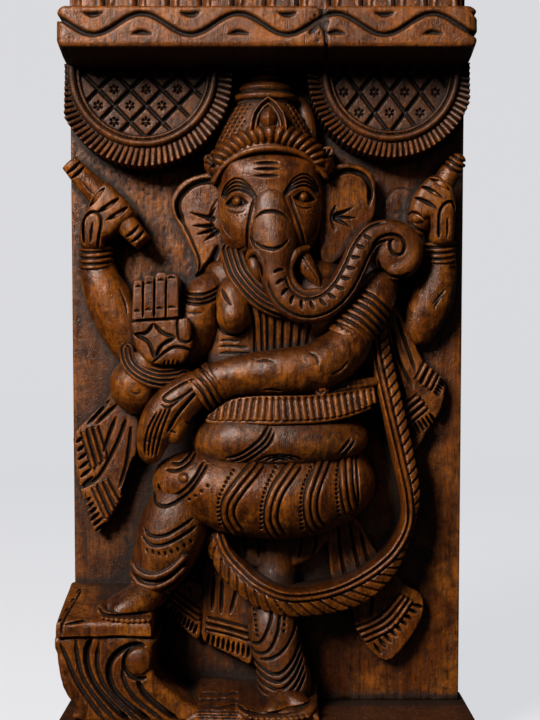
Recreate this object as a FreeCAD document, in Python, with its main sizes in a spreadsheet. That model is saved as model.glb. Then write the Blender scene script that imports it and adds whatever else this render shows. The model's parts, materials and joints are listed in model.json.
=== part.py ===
"""A carved wooden wall panel: an elephant-headed dancing figure in high relief on a plank, with a cornice above it,
two fan medallions under the cornice and a plinth below. Each carved element is a solid of its own, cut to meet its
neighbours face to face. Millimetres; +Z up; the front faces -Y; the origin is the middle of the underside.

Figure stations are (x, z, rise, radius): across, up, height of the centre above the plank's face, and radius."""

import FreeCAD
import Part
import Sketcher
import math
import os

DIMENSIONS = {
    "panel_width": 305,
    "panel_height": 610,
    "panel_depth": 100,
    "plank_depth": 30,
    "plank_foot_width": 294,
    "plinth_height": 35,
    "cap_height": 10,
    "cap_depth": 78,
    "cornice_foot": 523,
    "cornice_height": 30,
    "soffit_drop": 9,
    "cornice_nose": 5,
    "frieze_width": 291,
    "frieze_depth": 44,
    "medallion_radius": 70,
    "medallion_rim_radius": 54,
    "medallion_lip": 6,
    "medallion_panel_rise": 20,
    "medallion_rim_rise": 30,
    "medallion_fan_rise": 34,
    "hanger_spread": 190,
    "hanger_level": 545,
    "hanger_length": 44,
    "hanger_width": 18,
    "hanger_thickness": 1.5,
    "keyhole_radius": 4.5,
    "keyhole_slot": 4.4,
    "pocket_depth": 8,
    "screw_pitch": 34,
    "screw_radius": 1.6,
    "screw_length": 18,
    "screw_head_radius": 3.2,
    "grid": 1,
}

doc = FreeCAD.newDocument("carved_panel")
sheet = doc.addObject("Spreadsheet::Sheet", "Dimensions")
for row, (alias, value) in enumerate(DIMENSIONS.items(), start=1):
    sheet.set(f"A{row}", alias)
    sheet.set(f"B{row}", str(value))
    sheet.setAlias(f"B{row}", alias)
sheet.set(f"A{len(DIMENSIONS) + 1}", "face_y")
sheet.set(f"B{len(DIMENSIONS) + 1}", "=panel_depth / 2 - plank_depth")
sheet.setAlias(f"B{len(DIMENSIONS) + 1}", "face_y")
doc.recompute()

finished = []  # the sub-parts, each a document object whose Label is its node's name
blanks = {}  # node name: the untrimmed solid that its neighbours are cut by


def bind(thing, **expressions):
    """Binds properties to the sheet; Base_x and the like stand for Placement.Base.x."""
    for name, expression in expressions.items():
        path = name.replace("Base_", "Placement.Base.")
        thing.setExpression(path, expression.replace("$", "Dimensions."))
    return thing


def on_grid(value):
    return f"{value} * $grid"


def rise_y(rise):
    """The y of a point that stands this far above the plank's face."""
    return f"$face_y - {rise} * $grid"


def node(label, solid):
    """Records a solid as a finished sub-part."""
    solid.Label = label
    blanks[label] = solid
    finished.append(solid)
    return solid


def fuse(name, *solids):
    joined = doc.addObject("Part::MultiFuse", name)
    joined.Shapes = list(solids)
    return joined


def carve(label, blank):
    """Finishes a carved element: its blank, cut back by every earlier element that it would run into."""
    doc.recompute()
    box = blank.Shape.BoundBox
    near = [b for b in blanks.values() if b.Shape.BoundBox.intersect(box)]
    touching = [b for b in near if b.Shape.distToShape(blank.Shape)[0] < 1e-6]
    cut = blank
    if touching:
        room = touching[0] if len(touching) == 1 else fuse(f"{label}_room", *touching)
        cut = doc.addObject("Part::Cut", f"{label}_cut")
        cut.Base = blank
        cut.Tool = room
    blank.Label = f"{label}_blank"
    cut.Label = label
    blanks[label] = blank
    finished.append(cut)
    return cut


def limb(name, stations):
    """A lofted round member through (x, z, rise, radius) stations."""
    points = [FreeCAD.Vector(x, -rise, z) for x, z, rise, _ in stations]
    sections = []
    for i, (x, z, rise, radius) in enumerate(stations):
        before, after = points[max(i - 1, 0)], points[min(i + 1, len(points) - 1)]
        forward = after - before
        circle = doc.addObject("Part::Circle", f"{name}_section")
        turn = FreeCAD.Rotation(FreeCAD.Vector(0, -1, 0), FreeCAD.Vector(), forward, "ZXY")
        circle.Placement = FreeCAD.Placement(FreeCAD.Vector(), turn)
        bind(circle, Radius=on_grid(radius), Base_x=on_grid(x), Base_y=rise_y(rise), Base_z=on_grid(z))
        sections.append(circle)
    loft = doc.addObject("Part::Loft", name)
    loft.Sections = sections
    loft.Solid = True
    return loft


def egg(name, centre, half_width, half_height, half_depth, lean=0):
    """An ellipsoid about (x, z, rise), leaning to the right by so many degrees."""
    x, z, rise = centre
    body = doc.addObject("Part::Ellipsoid", name)
    body.Angle1, body.Angle2, body.Angle3 = -90, 90, 360
    body.Placement.Rotation = FreeCAD.Rotation(FreeCAD.Vector(0, 1, 0), lean)
    bind(
        body,
        Radius1=on_grid(half_height),
        Radius2=on_grid(half_width),
        Radius3=on_grid(half_depth),
        Base_x=on_grid(x),
        Base_y=rise_y(rise),
        Base_z=on_grid(z),
    )
    return body


def origin_plane(body, role):
    return next(o for o in body.Origin.OriginFeatures if o.Role == role)


def sketch_outline(sketch, outline):
    """Draws (x, y, bulge) corners as a closed outline; a bulge bends the edge that leaves its corner into an arc."""
    count = len(outline)
    for i, (x, y, bulge) in enumerate(outline):
        a = FreeCAD.Vector(x, y, 0)
        b = FreeCAD.Vector(*outline[(i + 1) % count][:2], 0)
        if bulge:
            side = FreeCAD.Vector(b.y - a.y, a.x - b.x, 0) * (bulge / 2)
            edge = Part.Arc(a, (a + b) / 2 + side, b)
        else:
            edge = Part.LineSegment(a, b)
        sketch.addGeometry(edge, False)
    # A three-point arc is stored anticlockwise, so the end that lies on the corner is looked up.
    ends = []
    for i, (x, y, _) in enumerate(outline):
        start = sketch.getPoint(i, 1)
        at_start = math.hypot(start.x - x, start.y - y) < 1e-6
        ends.append((1, 2) if at_start else (2, 1))
    for i, (x, y, bulge) in enumerate(outline):
        after = (i + 1) % count
        sketch.addConstraint(Sketcher.Constraint("Coincident", i, ends[i][1], after, ends[after][0]))
        for kind, value in (("DistanceX", x), ("DistanceY", y)):
            made = sketch.addConstraint(Sketcher.Constraint(kind, -1, 1, i, ends[i][0], value))
            sketch.setExpression(f"Constraints[{made}]", f"{value} * Dimensions.grid")
        if bulge:
            radius = sketch.Geometry[i].Radius
            made = sketch.addConstraint(Sketcher.Constraint("Radius", i, radius))
            sketch.setExpression(f"Constraints[{made}]", f"{radius} * Dimensions.grid")


def total(terms):
    """A sum of (factor, alias) terms, as a number and as an expression on the sheet."""
    value = sum(factor * DIMENSIONS[alias] for factor, alias in terms)
    return value, " + ".join(f"{factor} * Dimensions.{alias}" for factor, alias in terms)


def sketch_profile(sketch, corners):
    """Draws a closed polygon; each corner is two sums of sheet dimensions, across and up."""
    points = [(total(across), total(up)) for across, up in corners]
    for i, ((x, _), (y, _)) in enumerate(points):
        (next_x, _), (next_y, _) = points[(i + 1) % len(points)]
        sketch.addGeometry(Part.LineSegment(FreeCAD.Vector(x, y, 0), FreeCAD.Vector(next_x, next_y, 0)), False)
    for i in range(len(points)):
        sketch.addConstraint(Sketcher.Constraint("Coincident", i, 2, (i + 1) % len(points), 1))
    for i, ties in enumerate(points):
        for kind, (start, expression) in zip(("DistanceX", "DistanceY"), ties, strict=True):
            made = sketch.addConstraint(Sketcher.Constraint(kind, -1, 1, i, 1, start))
            if expression:
                sketch.setExpression(f"Constraints[{made}]", expression)


def slab(name, outline, rise, corner):
    """A padded outline that stands on the plank's face: outline corners are measured from corner, an (x, z) point."""
    body = doc.addObject("PartDesign::Body", name)
    sketch = body.newObject("Sketcher::SketchObject", f"{name}_sketch")
    sketch.AttachmentSupport = [(origin_plane(body, "XZ_Plane"), "")]
    sketch.MapMode = "FlatFace"
    for axis, expression in zip("xyz", (on_grid(corner[0]), on_grid(corner[1]), "-$face_y"), strict=True):
        path = f"AttachmentOffset.Base.{axis}"
        sketch.setExpression(path, expression.replace("$", "Dimensions."))
    sketch_outline(sketch, outline)
    pad = body.newObject("PartDesign::Pad", f"{name}_pad")
    pad.Profile = sketch
    pad.setExpression("Length", f"{rise} * Dimensions.grid")
    return body


def box(name, **expressions):
    return bind(doc.addObject("Part::Box", name), **expressions)


def rod(name, **expressions):
    """A cylinder along +Y from its base."""
    body = doc.addObject("Part::Cylinder", name)
    body.Placement.Rotation = FreeCAD.Rotation(FreeCAD.Vector(1, 0, 0), -90)
    return bind(body, **expressions)


# The frame: plinth, plank, cap, cornice and frieze


def plinth():
    node(
        "plinth",
        box(
            "plinth",
            Length="$panel_width",
            Width="$panel_depth",
            Height="$plinth_height",
            Base_x="-$panel_width / 2",
            Base_y="-$panel_depth / 2",
        ),
    )


def hanger(side):
    """A keyhole hanger plate let into the back; side is -1 or 1. Returns the plate and the pocket behind it."""
    word = "left" if side < 0 else "right"
    x = f"{side} * $hanger_spread / 2"
    plate = box(
        f"{word}_plate_blank",
        Length="$hanger_length",
        Width="$hanger_thickness",
        Height="$hanger_width",
        Base_x=f"{x} - $hanger_length / 2",
        Base_y="$panel_depth / 2 - $hanger_thickness",
        Base_z="$hanger_level - $hanger_width / 2",
    )
    through = {"Height": "3 * $hanger_thickness", "Base_y": "$panel_depth / 2 - 2 * $hanger_thickness"}
    entry = rod(f"{word}_entry", Radius="$keyhole_radius", Base_x=x, Base_z="$hanger_level - 3", **through)
    slot = box(
        f"{word}_slot",
        Length="$keyhole_slot",
        Width="3 * $hanger_thickness",
        Height="7",
        Base_x=f"{x} - $keyhole_slot / 2",
        Base_y="$panel_depth / 2 - 2 * $hanger_thickness",
        Base_z="$hanger_level - 3",
    )
    holes = [
        rod(
            f"{word}_screw_hole",
            Radius="$screw_radius",
            Base_x=f"{x} + {end} * $screw_pitch / 2",
            Base_z="$hanger_level",
            **through,
        )
        for end in (-1, 1)
    ]
    cut = doc.addObject("Part::Cut", f"{word}_hanger")
    cut.Base = plate
    cut.Tool = fuse(f"{word}_hanger_holes", entry, slot, *holes)
    node(f"{word}_hanger", cut)
    pocket = box(
        f"{word}_pocket",
        Length="22",
        Width="$pocket_depth + 1",
        Height="14",
        Base_x=f"{x} - 11",
        Base_y="$panel_depth / 2 - $pocket_depth",
        Base_z="$hanger_level - 8",
    )
    return plate, pocket


def hanger_screws():
    """Four pan-head screws that hold the hanger plates."""
    screws = []
    for side in (-1, 1):
        for end in (-1, 1):
            place = {
                "Base_x": f"{side} * $hanger_spread / 2 + {end} * $screw_pitch / 2",
                "Base_z": "$hanger_level",
            }
            shank = rod(
                "screw_shank",
                Radius="$screw_radius",
                Height="$screw_length",
                Base_y="$panel_depth / 2 - $screw_length",
                **place,
            )
            head = doc.addObject("Part::Cone", "screw_head")
            head.Placement.Rotation = FreeCAD.Rotation(FreeCAD.Vector(1, 0, 0), -90)
            bind(
                head,
                Radius1="$screw_radius",
                Radius2="$screw_head_radius",
                Height="$hanger_thickness",
                Base_y="$panel_depth / 2 - $hanger_thickness",
                **place,
            )
            screws.append(fuse("screw", shank, head))
    together = doc.addObject("Part::Compound", "hanger_screws")
    together.Links = screws
    return together


def back_plank(hanger_blanks, screws):
    body = doc.addObject("PartDesign::Body", "plank_blank")
    sketch = body.newObject("Sketcher::SketchObject", "plank_sketch")
    sketch.AttachmentSupport = [(origin_plane(body, "XZ_Plane"), "")]
    sketch.MapMode = "FlatFace"
    sketch.setExpression("AttachmentOffset.Base.z", "-Dimensions.panel_depth / 2")
    foot, head = "plank_foot_width", "panel_width"
    low, high = [(1, "plinth_height")], [(1, "panel_height"), (-1, "cap_height")]
    sketch_profile(sketch, [([(-0.5, foot)], low), ([(0.5, foot)], low), ([(0.5, head)], high), ([(-0.5, head)], high)])
    pad = body.newObject("PartDesign::Pad", "plank_pad")
    pad.Profile = sketch
    pad.setExpression("Length", "Dimensions.plank_depth")
    cut = doc.addObject("Part::Cut", "back_plank")
    cut.Base = body
    cut.Tool = fuse("plank_recesses", *hanger_blanks, screws)
    node("back_plank", cut)
    blanks["back_plank"] = body


def top_cap():
    node(
        "top_cap",
        box(
            "top_cap",
            Length="$panel_width",
            Width="$cap_depth",
            Height="$cap_height",
            Base_x="-$panel_width / 2",
            Base_y="$panel_depth / 2 - $cap_depth",
            Base_z="$panel_height - $cap_height",
        ),
    )


def cornice():
    """A moulded shelf: a rounded nose, a flat face and a soffit that falls towards the plank."""
    body = doc.addObject("PartDesign::Body", "cornice")
    sketch = body.newObject("Sketcher::SketchObject", "cornice_sketch")
    sketch.AttachmentSupport = [(origin_plane(body, "YZ_Plane"), "")]
    sketch.MapMode = "FlatFace"
    front = [(-0.5, "panel_depth")]
    nose = [*front, (1, "cornice_nose")]
    face = [(0.5, "panel_depth"), (-1, "plank_depth")]
    foot = [(1, "cornice_foot")]
    top = [*foot, (1, "cornice_height")]
    corners = [
        (front, [*foot, (1, "cornice_nose")]),
        (nose, foot),
        (face, [*foot, (-1, "soffit_drop")]),
        (face, top),
        (nose, top),
        (front, [*top, (-1, "cornice_nose")]),
    ]
    sketch_profile(sketch, corners)
    pad = body.newObject("PartDesign::Pad", "cornice_pad")
    pad.Profile = sketch
    pad.Midplane = True
    pad.setExpression("Length", "Dimensions.panel_width")
    node("cornice", body)


def upper_frieze():
    blank = box(
        "upper_frieze_block",
        Length="$frieze_width",
        Width="$frieze_depth",
        Height="$panel_height - $cap_height - $cornice_foot - $cornice_height",
        Base_x="-$frieze_width / 2",
        Base_y="$face_y - $frieze_depth",
        Base_z="$cornice_foot + $cornice_height",
    )
    carve("upper_frieze", blank)


def medallion(label, x, z, side):
    """Half a dished rosette under the cornice; side is -1 for the one at the panel's left edge, 1 for the right."""
    body = doc.addObject("PartDesign::Body", f"{label}_disc")
    sketch = body.newObject("Sketcher::SketchObject", f"{label}_profile")
    sketch.AttachmentSupport = [(origin_plane(body, "XY_Plane"), "")]
    sketch.MapMode = "FlatFace"
    # In the profile x is the rosette's radius, and y runs back from its front to the plank's face.
    radius, rim = [(1, "medallion_radius")], [(1, "medallion_rim_radius")]
    lip = [*rim, (-1, "medallion_lip")]
    fan, bead, dish = ([(-1, f"medallion_{part}_rise")] for part in ("fan", "rim", "panel"))
    sketch_profile(sketch, [([], []), (radius, []), (radius, fan), (rim, bead), (lip, bead), (lip, dish), ([], dish)])
    turned = body.newObject("PartDesign::Revolution", f"{label}_turned")
    turned.Profile = sketch
    turned.ReferenceAxis = (sketch, ["V_Axis"])
    turned.Angle = 360
    bind(body, Base_x=on_grid(x), Base_y="$face_y", Base_z=on_grid(z))
    inner = x + 66 * -side
    room = box(
        f"{label}_room",
        Length=on_grid(152.5 - abs(inner)) if inner * side > 0 else on_grid(152.5 + abs(inner)),
        Width="$plank_depth + 20",
        Height=on_grid(75),
        Base_x=on_grid(min(inner, side * 152.5)),
        Base_y="$face_y - $plank_depth - 20",
        Base_z=on_grid(z - 74),
    )
    half = doc.addObject("Part::Common", f"{label}_half")
    half.Base = body
    half.Tool = room
    carve(label, half)


# The figure, from the front of the relief to the back


def lowered_arm():
    """The arm that crosses the belly, its bangles and its hanging hand."""
    carve("lowered_bangles", limb("lowered_bangles_loft", [(-51, 275, 46, 15.5), (-38, 282, 46, 15.5)]))
    palm = limb(
        "lowered_palm",
        [(-44, 279, 46, 12), (-60, 271, 47, 14), (-76, 258, 47, 14), (-85, 242, 45, 11.5), (-89, 228, 42, 6)],
    )
    thumb = limb("lowered_thumb", [(-54, 271, 47, 8), (-64, 254, 48, 7), (-71, 240, 46, 4)])
    carve("lowered_hand", fuse("lowered_hand_block", palm, thumb))
    forearm = [(-40, 281, 46, 13.5), (-20, 285, 47, 15.6), (4, 288, 48, 16.8), (26, 290, 46, 17.4)]
    carve("lowered_forearm", limb("lowered_forearm_loft", forearm + [(44, 298, 42, 17.5), (56, 308, 37, 15.5)]))
    upper = [(54, 306, 37, 15.5), (66, 322, 33, 15.5), (77, 337, 29, 14.5), (84, 352, 24, 12)]
    carve("lowered_upper_arm", limb("lowered_upper_arm_loft", upper))


def blessing_arm():
    """The arm raised with its open palm to the front."""
    parts = [egg("blessing_palm", (-78, 312, 45), 21, 18, 10)]
    for i, tip in enumerate((350, 357, 359, 356)):
        x = -95 + 8.6 * i
        parts.append(limb("blessing_finger", [(x, 318, 46, 4.6), (x, tip - 8, 46, 4.5), (x, tip, 45, 2.5)]))
    parts.append(limb("blessing_thumb", [(-62, 302, 46, 6), (-58, 316, 47, 5.2), (-57, 328, 46, 3)]))
    carve("blessing_hand", fuse("blessing_hand_block", *parts))
    carve("blessing_bangles", limb("blessing_bangles_loft", [(-94, 282, 34, 18.5), (-84, 298, 38, 18.5)]))
    forearm = [(-106, 262, 18, 13), (-103, 269, 26, 18.5), (-96, 280, 33, 17.5), (-90, 289, 36, 16)]
    carve("blessing_forearm", limb("blessing_forearm_loft", forearm))
    upper = [(-40, 356, 24, 11), (-48, 340, 28, 13.5), (-52, 322, 28, 13.5), (-62, 302, 24, 12)]
    carve("blessing_upper_arm", limb("blessing_upper_arm_loft", upper))


def trunk_and_tusks():
    rope = [(3, 412, 42, 11), (4, 394, 44, 14.5), (4.5, 376, 46, 13.5), (6, 362, 47, 11)]
    rope += [(10, 347, 47, 10.2), (20, 336, 46, 10), (34, 334, 45, 9.8), (47, 340, 44, 9.6)]
    rope += [(58, 353, 43, 9.5), (66, 369, 42, 9), (75, 384, 40, 8), (87, 393, 38, 7)]
    curl = rod("trunk_curl", Radius=on_grid(18.5), Height=on_grid(24), Base_x=on_grid(94), Base_z=on_grid(379))
    bind(curl, Base_y=rise_y(44))
    carve("trunk", fuse("trunk_block", limb("trunk_loft", rope), curl))
    carve("left_tusk", limb("left_tusk_loft", [(-8, 374, 38, 4.5), (-7, 365, 40, 4), (-4, 356, 41, 1.5)]))
    carve("right_tusk", limb("right_tusk_loft", [(24, 377, 38, 6), (30, 367, 40, 5.5), (38, 354, 41, 1.5)]))


def crown():
    carve("crown_jewel", egg("crown_jewel_block", (0.5, 474, 46), 14, 17, 9))
    band = [(-40, 434, 34, 9), (-28, 449, 42, 9.5), (-3, 459, 47, 10), (24, 455, 43, 9.5), (41, 440, 34, 9)]
    carve("crown_band", limb("crown_band_loft", band))
    body = doc.addObject("PartDesign::Body", "crown_cone")
    sketch = body.newObject("Sketcher::SketchObject", "crown_profile")
    sketch.AttachmentSupport = [(origin_plane(body, "XZ_Plane"), "")]
    sketch.MapMode = "FlatFace"
    profile = [(0, 440, 0), (38, 440, 0), (35, 460, 0), (22, 489, 0), (23, 493, 0.4), (22, 500, 0), (15, 505, 0)]
    profile += [(15, 509, 0.4), (13, 513, 0), (9, 520, 0), (0, 520, 0)]
    sketch_outline(sketch, [(x, z - 440, bulge) for x, z, bulge in profile])
    turned = body.newObject("PartDesign::Revolution", "crown_turned")
    turned.Profile = sketch
    turned.ReferenceAxis = (sketch, ["V_Axis"])
    turned.Angle = 360
    bind(body, Base_x=on_grid(-3), Base_y=rise_y(20), Base_z=on_grid(440))
    return body


def head_parts(crown_blank):
    carve("head", egg("head_block", (2.5, 412, 22), 40, 44, 31))
    carve("crown_cap", crown_blank)
    left = [(38, 85, 0.5), (0, 60, 0.1), (16, 28, 0), (16, 0, 0), (36, 20, 0), (40, 45, 0)]
    carve("left_ear", slab("left_ear_pad", left, 22, (-76, 354)))
    right = [(0, 70, -0.1), (20, 76, -0.45), (43, 46, -0.1), (30, 20, 0), (5, 0, 0)]
    carve("right_ear", slab("right_ear_pad", right, 22, (40, 370)))


def torso():
    necklace = [(-34, 362, 30, 6), (-17, 345, 37, 6), (8, 334, 40, 6), (30, 330, 38, 5)]
    carve("necklace", limb("necklace_loft", necklace))
    chest = egg("chest_block", (4, 316, 14), 56, 50, 27)
    breast = egg("breast_block", (-25, 330, 34), 13, 16, 12)
    carve("chest", fuse("chest_and_breast", chest, breast))
    sash = [(-42, 262, 36, 7.5), (-14, 260, 45, 8.5), (17, 261, 48, 8.5), (50, 265, 44, 8.5), (76, 270, 34, 8)]
    carve("belly_sash", limb("belly_sash_loft", sash))
    carve("belly", egg("belly_block", (12, 246, 24), 65, 29, 38))


def legs():
    thigh = [(-68, 212, 26, 12), (-54, 206, 33, 24), (-30, 199, 34, 31), (0, 196, 34, 31)]
    carve("thigh", limb("thigh_loft", thigh + [(30, 197, 32, 30), (58, 202, 27, 25), (75, 211, 20, 15)]))
    shin = [(-58, 216, 28, 17), (-62, 196, 31, 20.5), (-67, 177, 31, 23.5), (-71, 160, 31, 22)]
    carve("bent_shin", limb("bent_shin_loft", shin + [(-80, 143, 30, 18), (-89, 128, 30, 13)]))
    carve("bent_foot", egg("bent_foot_block", (-102, 120, 38), 23, 12, 26))
    garland = [(82, 326, 22, 7), (87, 300, 26, 8.5), (92, 275, 28, 9.5), (98, 245, 28, 9.5), (104, 215, 28, 8.5)]
    garland += [(107, 188, 28, 7.5), (104, 165, 28, 8), (94, 146, 29, 9), (78, 131, 30, 10), (55, 121, 31, 10.5)]
    garland += [(28, 117, 32, 10.5), (2, 122, 33, 10.5), (-18, 133, 33, 10.5), (-33, 148, 32, 10), (-40, 164, 28, 9)]
    carve("garland", limb("garland_loft", garland))
    leg = [(8, 168, 20, 19), (6, 140, 22, 19), (6, 112, 24, 18), (7, 92, 26, 17), (8, 74, 28, 16), (9, 58, 29, 15)]
    carve("standing_leg", limb("standing_leg_loft", leg))
    carve("standing_foot", egg("standing_foot_block", (3, 50, 40), 27, 12, 27))
    drape = [(0, 30, 0), (20, 6, 0.15), (72, 8, 0), (86, 40, 0), (4, 40, 0)]
    carve("skirt_drape", slab("skirt_drape_pad", drape, 20, (-42, 134)))


def pedestals():
    """The stand under the bent foot, with its scroll, and the mound under the other foot."""
    block = doc.addObject("Part::Wedge", "foot_pedestal_block")
    # The wedge's own X, Y, Z are the pedestal's width, its depth and its height.
    bind(
        block,
        Xmin="0",
        Xmax=on_grid(70),
        X2min="0",
        X2max=on_grid(70),
        Ymin="0",
        Ymax=on_grid(70),
        Zmin="0",
        Zmax=on_grid(12),
        Z2min="0",
        Z2max=on_grid(27),
        Base_x=on_grid(-152.5),
        Base_y=rise_y(70),
        Base_z=on_grid(97),
    )
    carve("foot_pedestal", block)
    scroll = [(0, 62, 0.12), (13, 0, 0), (112, 0, 0), (92, 19, 0.1), (71, 34, 0.4), (70, 62, 0)]
    carve("pedestal_scroll", slab("pedestal_scroll_pad", scroll, 66, (-152, 35)))
    carve("standing_base", slab("standing_base_pad", [(0, 0, 0), (96, 0, 0), (90, 8, -0.2), (6, 12, 0)], 64, (-62, 35)))


def rear_arm(word, side, forearm, bangles, palm, fingers, club):
    """A raised rear arm: the club goes through the fist. side is -1 for the viewer's left."""

    def mirrored(stations):
        return [(side * x, z, rise, radius) for x, z, rise, radius in stations]

    palm_block = limb(f"{word}_rear_palm", mirrored(palm))
    finger_block = limb(f"{word}_rear_fingers", mirrored(fingers))
    carve(f"{word}_rear_hand", fuse(f"{word}_rear_fist", palm_block, finger_block))
    carve(f"{word}_rear_club", limb(f"{word}_rear_club_loft", mirrored(club)))
    carve(f"{word}_rear_bangles", limb(f"{word}_rear_bangles_loft", mirrored(bangles)))
    carve(f"{word}_rear_forearm", limb(f"{word}_rear_forearm_loft", mirrored(forearm)))


def rear_arms():
    rear_arm(
        "left",
        -1,
        forearm=[(132, 378, 12, 10), (128, 364, 12, 11.5), (117, 343, 11, 15), (108, 322, 10, 15), (100, 306, 8, 13)],
        bangles=[(134, 383, 12, 12), (131, 369, 12, 12)],
        palm=[(133, 382, 14, 10), (130, 398, 18, 13), (122, 415, 20, 11)],
        fingers=[(125, 422, 24, 6), (112, 412, 27, 9), (102, 405, 24, 5)],
        club=[(146, 444, 20, 6.5), (134, 430, 21, 8), (118, 414, 20, 8.5), (101, 394, 18, 8), (91, 384, 18, 8.5)],
    )
    rear_arm(
        "right",
        1,
        forearm=[(133, 380, 12, 10.5), (130, 364, 12, 11.5), (127, 345, 11, 14), (121, 328, 10, 14), (112, 310, 8, 12)],
        bangles=[(134, 387, 12, 12.5), (132, 372, 12, 12.5)],
        palm=[(134, 386, 14, 10), (135, 404, 18, 11), (130, 418, 20, 12)],
        fingers=[(137, 428, 24, 7), (124, 421, 26, 9), (114, 413, 23, 6)],
        club=[(146, 446, 20, 6), (138, 435, 21, 7), (127, 420, 20, 8), (112, 401, 18, 8), (103, 390, 18, 8.5)],
    )


def cloth_tails():
    left = [(28, 106, 0), (0, 75, 0.1), (2, 41, 0), (15, 0, 0), (22, 3, 0), (33, 22, 0.1), (47, 84, 0)]
    carve("left_sash_tail", slab("left_sash_pad", left, 18, (-146, 167)))
    right = [(0, 115, 0), (7, 108, 0), (28, 68, 0), (40, 59, -0.1), (40, 37, -0.1), (19, 0, 0), (8, 19, 0), (15, 44, 0)]
    carve("right_sash_tail", slab("right_sash_pad", right, 18, (93, 227)))
    lower = [(0, 65, 0), (0, 93, 0), (17, 108, 0), (34, 84, 0), (52, 59, 0), (71, 48, -0.1), (68, 24, -0.1), (43, 0, 0)]
    lower += [(29, 8, 0), (15, 42, 0)]
    carve("lower_right_sash", slab("lower_right_sash_pad", lower, 18, (47, 69)))
    outer = [(1, 45, 0), (23, 46, 0), (29, 18, 0), (23, 0, 0), (0, 23, 0)]
    carve("outer_left_hem", slab("outer_left_hem_pad", outer, 16, (-77, 79)))
    inner = [(4, 76, 0), (33, 51, 0), (34, 13, 0), (31, 0, 0), (0, 21, 0)]
    carve("inner_left_hem", slab("inner_left_hem_pad", inner, 18, (-47, 64)))


def check_and_export():
    """Stops on any failed object or empty sub-part, then writes one STEP file for each sub-part."""
    doc.recompute()
    failed = [o.Label for o in doc.Objects if "Invalid" in o.State or "Error" in o.State]
    if failed:
        raise RuntimeError(f"these objects failed to build: {failed}")
    os.makedirs("parts", exist_ok=True)
    for solid in finished:
        shape = solid.Shape
        if shape.isNull() or not shape.isValid() or not shape.Solids:
            raise RuntimeError(f"{solid.Label} has no valid solid")
        print(f"{solid.Label}: {len(shape.Solids)} solid(s), {shape.Volume / 1000:.1f} cm3")
        shape.exportStep(f"parts/{solid.Label}.step")


def main():
    plinth()
    left_plate, left_pocket = hanger(-1)
    right_plate, right_pocket = hanger(1)
    screws = hanger_screws()
    back_plank([left_plate, left_pocket, right_plate, right_pocket], screws)
    node("hanger_screws", screws)
    top_cap()
    cornice()
    upper_frieze()
    lowered_arm()
    blessing_arm()
    trunk_and_tusks()
    crown_blank = crown()
    head_parts(crown_blank)
    torso()
    legs()
    pedestals()
    rear_arms()
    cloth_tails()
    medallion("left_medallion", -97, 511, -1)
    medallion("right_medallion", 95, 514, 1)
    check_and_export()


main()
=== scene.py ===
import json
import math

import bpy
import numpy as np
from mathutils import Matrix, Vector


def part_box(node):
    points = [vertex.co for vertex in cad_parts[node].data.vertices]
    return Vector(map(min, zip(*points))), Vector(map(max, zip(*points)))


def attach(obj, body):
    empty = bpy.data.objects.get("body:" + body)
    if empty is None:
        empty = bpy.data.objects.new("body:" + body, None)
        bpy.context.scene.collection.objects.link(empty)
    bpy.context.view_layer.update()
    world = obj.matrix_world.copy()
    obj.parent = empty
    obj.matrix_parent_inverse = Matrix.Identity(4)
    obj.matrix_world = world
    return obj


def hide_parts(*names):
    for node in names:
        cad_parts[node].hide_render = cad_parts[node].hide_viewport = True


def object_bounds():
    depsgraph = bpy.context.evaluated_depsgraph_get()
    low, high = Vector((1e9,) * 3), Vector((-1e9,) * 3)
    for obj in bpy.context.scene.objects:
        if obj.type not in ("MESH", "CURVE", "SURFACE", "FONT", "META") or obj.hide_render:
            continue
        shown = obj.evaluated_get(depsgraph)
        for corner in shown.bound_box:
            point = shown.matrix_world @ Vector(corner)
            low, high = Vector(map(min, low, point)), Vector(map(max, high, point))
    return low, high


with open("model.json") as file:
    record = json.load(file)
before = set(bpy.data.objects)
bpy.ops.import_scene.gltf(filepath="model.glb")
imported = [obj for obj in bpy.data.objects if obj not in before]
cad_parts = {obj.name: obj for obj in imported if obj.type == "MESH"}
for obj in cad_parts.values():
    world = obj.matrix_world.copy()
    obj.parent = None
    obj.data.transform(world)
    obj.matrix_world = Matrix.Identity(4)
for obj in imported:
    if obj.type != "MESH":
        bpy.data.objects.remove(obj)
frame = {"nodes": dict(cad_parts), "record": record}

# The panel stands on the floor and faces -Y. Shapes are set out in nominal millimetres as (x, z, rise):
# across, up, and height above the plank's face, on a panel 305 mm wide. make_piece takes them to metres.
NOMINAL_WIDTH = 305
cad_low, cad_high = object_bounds()
MM = (cad_high.x - cad_low.x) / NOMINAL_WIDTH
FACE_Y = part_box("back_plank")[0].y
CELL = 0.8  # grid spacing, unless a carving sets its own
MARGIN = 5  # how far past its own size a limb or egg changes the field
FRONT = 70  # the rise of the foremost faces
MAP_SIZE = (320, 620)  # the panel seen from the front, one place to a millimetre
MAP_CENTRE = 160
WHOLE = (slice(None),) * 3  # all of a field
BITE = 1.35  # how deep the tools bite: it scales every cut and bead
KEPT_SHARE = 0.5  # of each carved mesh's triangles

rng = np.random.default_rng(7)


# Curves and distances in the plane of the panel


def smooth(points, steps=6, closed=False):
    """A Catmull-Rom curve through the points, with so many steps between each two."""
    points = np.array(points, float)
    if len(points) < 3 or steps < 2:
        return points
    if closed:
        padded = np.vstack([points[-1], points, points[:2]])
    else:
        padded = np.vstack([2 * points[0] - points[1], points, 2 * points[-1] - points[-2]])
    t = np.linspace(0, 1, steps, endpoint=False)[:, None]
    parts = []
    for p0, p1, p2, p3 in zip(padded, padded[1:], padded[2:], padded[3:]):
        parts.append(0.5 * (2 * p1 + (p2 - p0) * t + (2 * p0 - 5 * p1 + 4 * p2 - p3) * t**2
                            + (3 * p1 - p0 - 3 * p2 + p3) * t**3))
    if not closed:
        parts.append(points[-1:])
    return np.vstack(parts)


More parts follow.
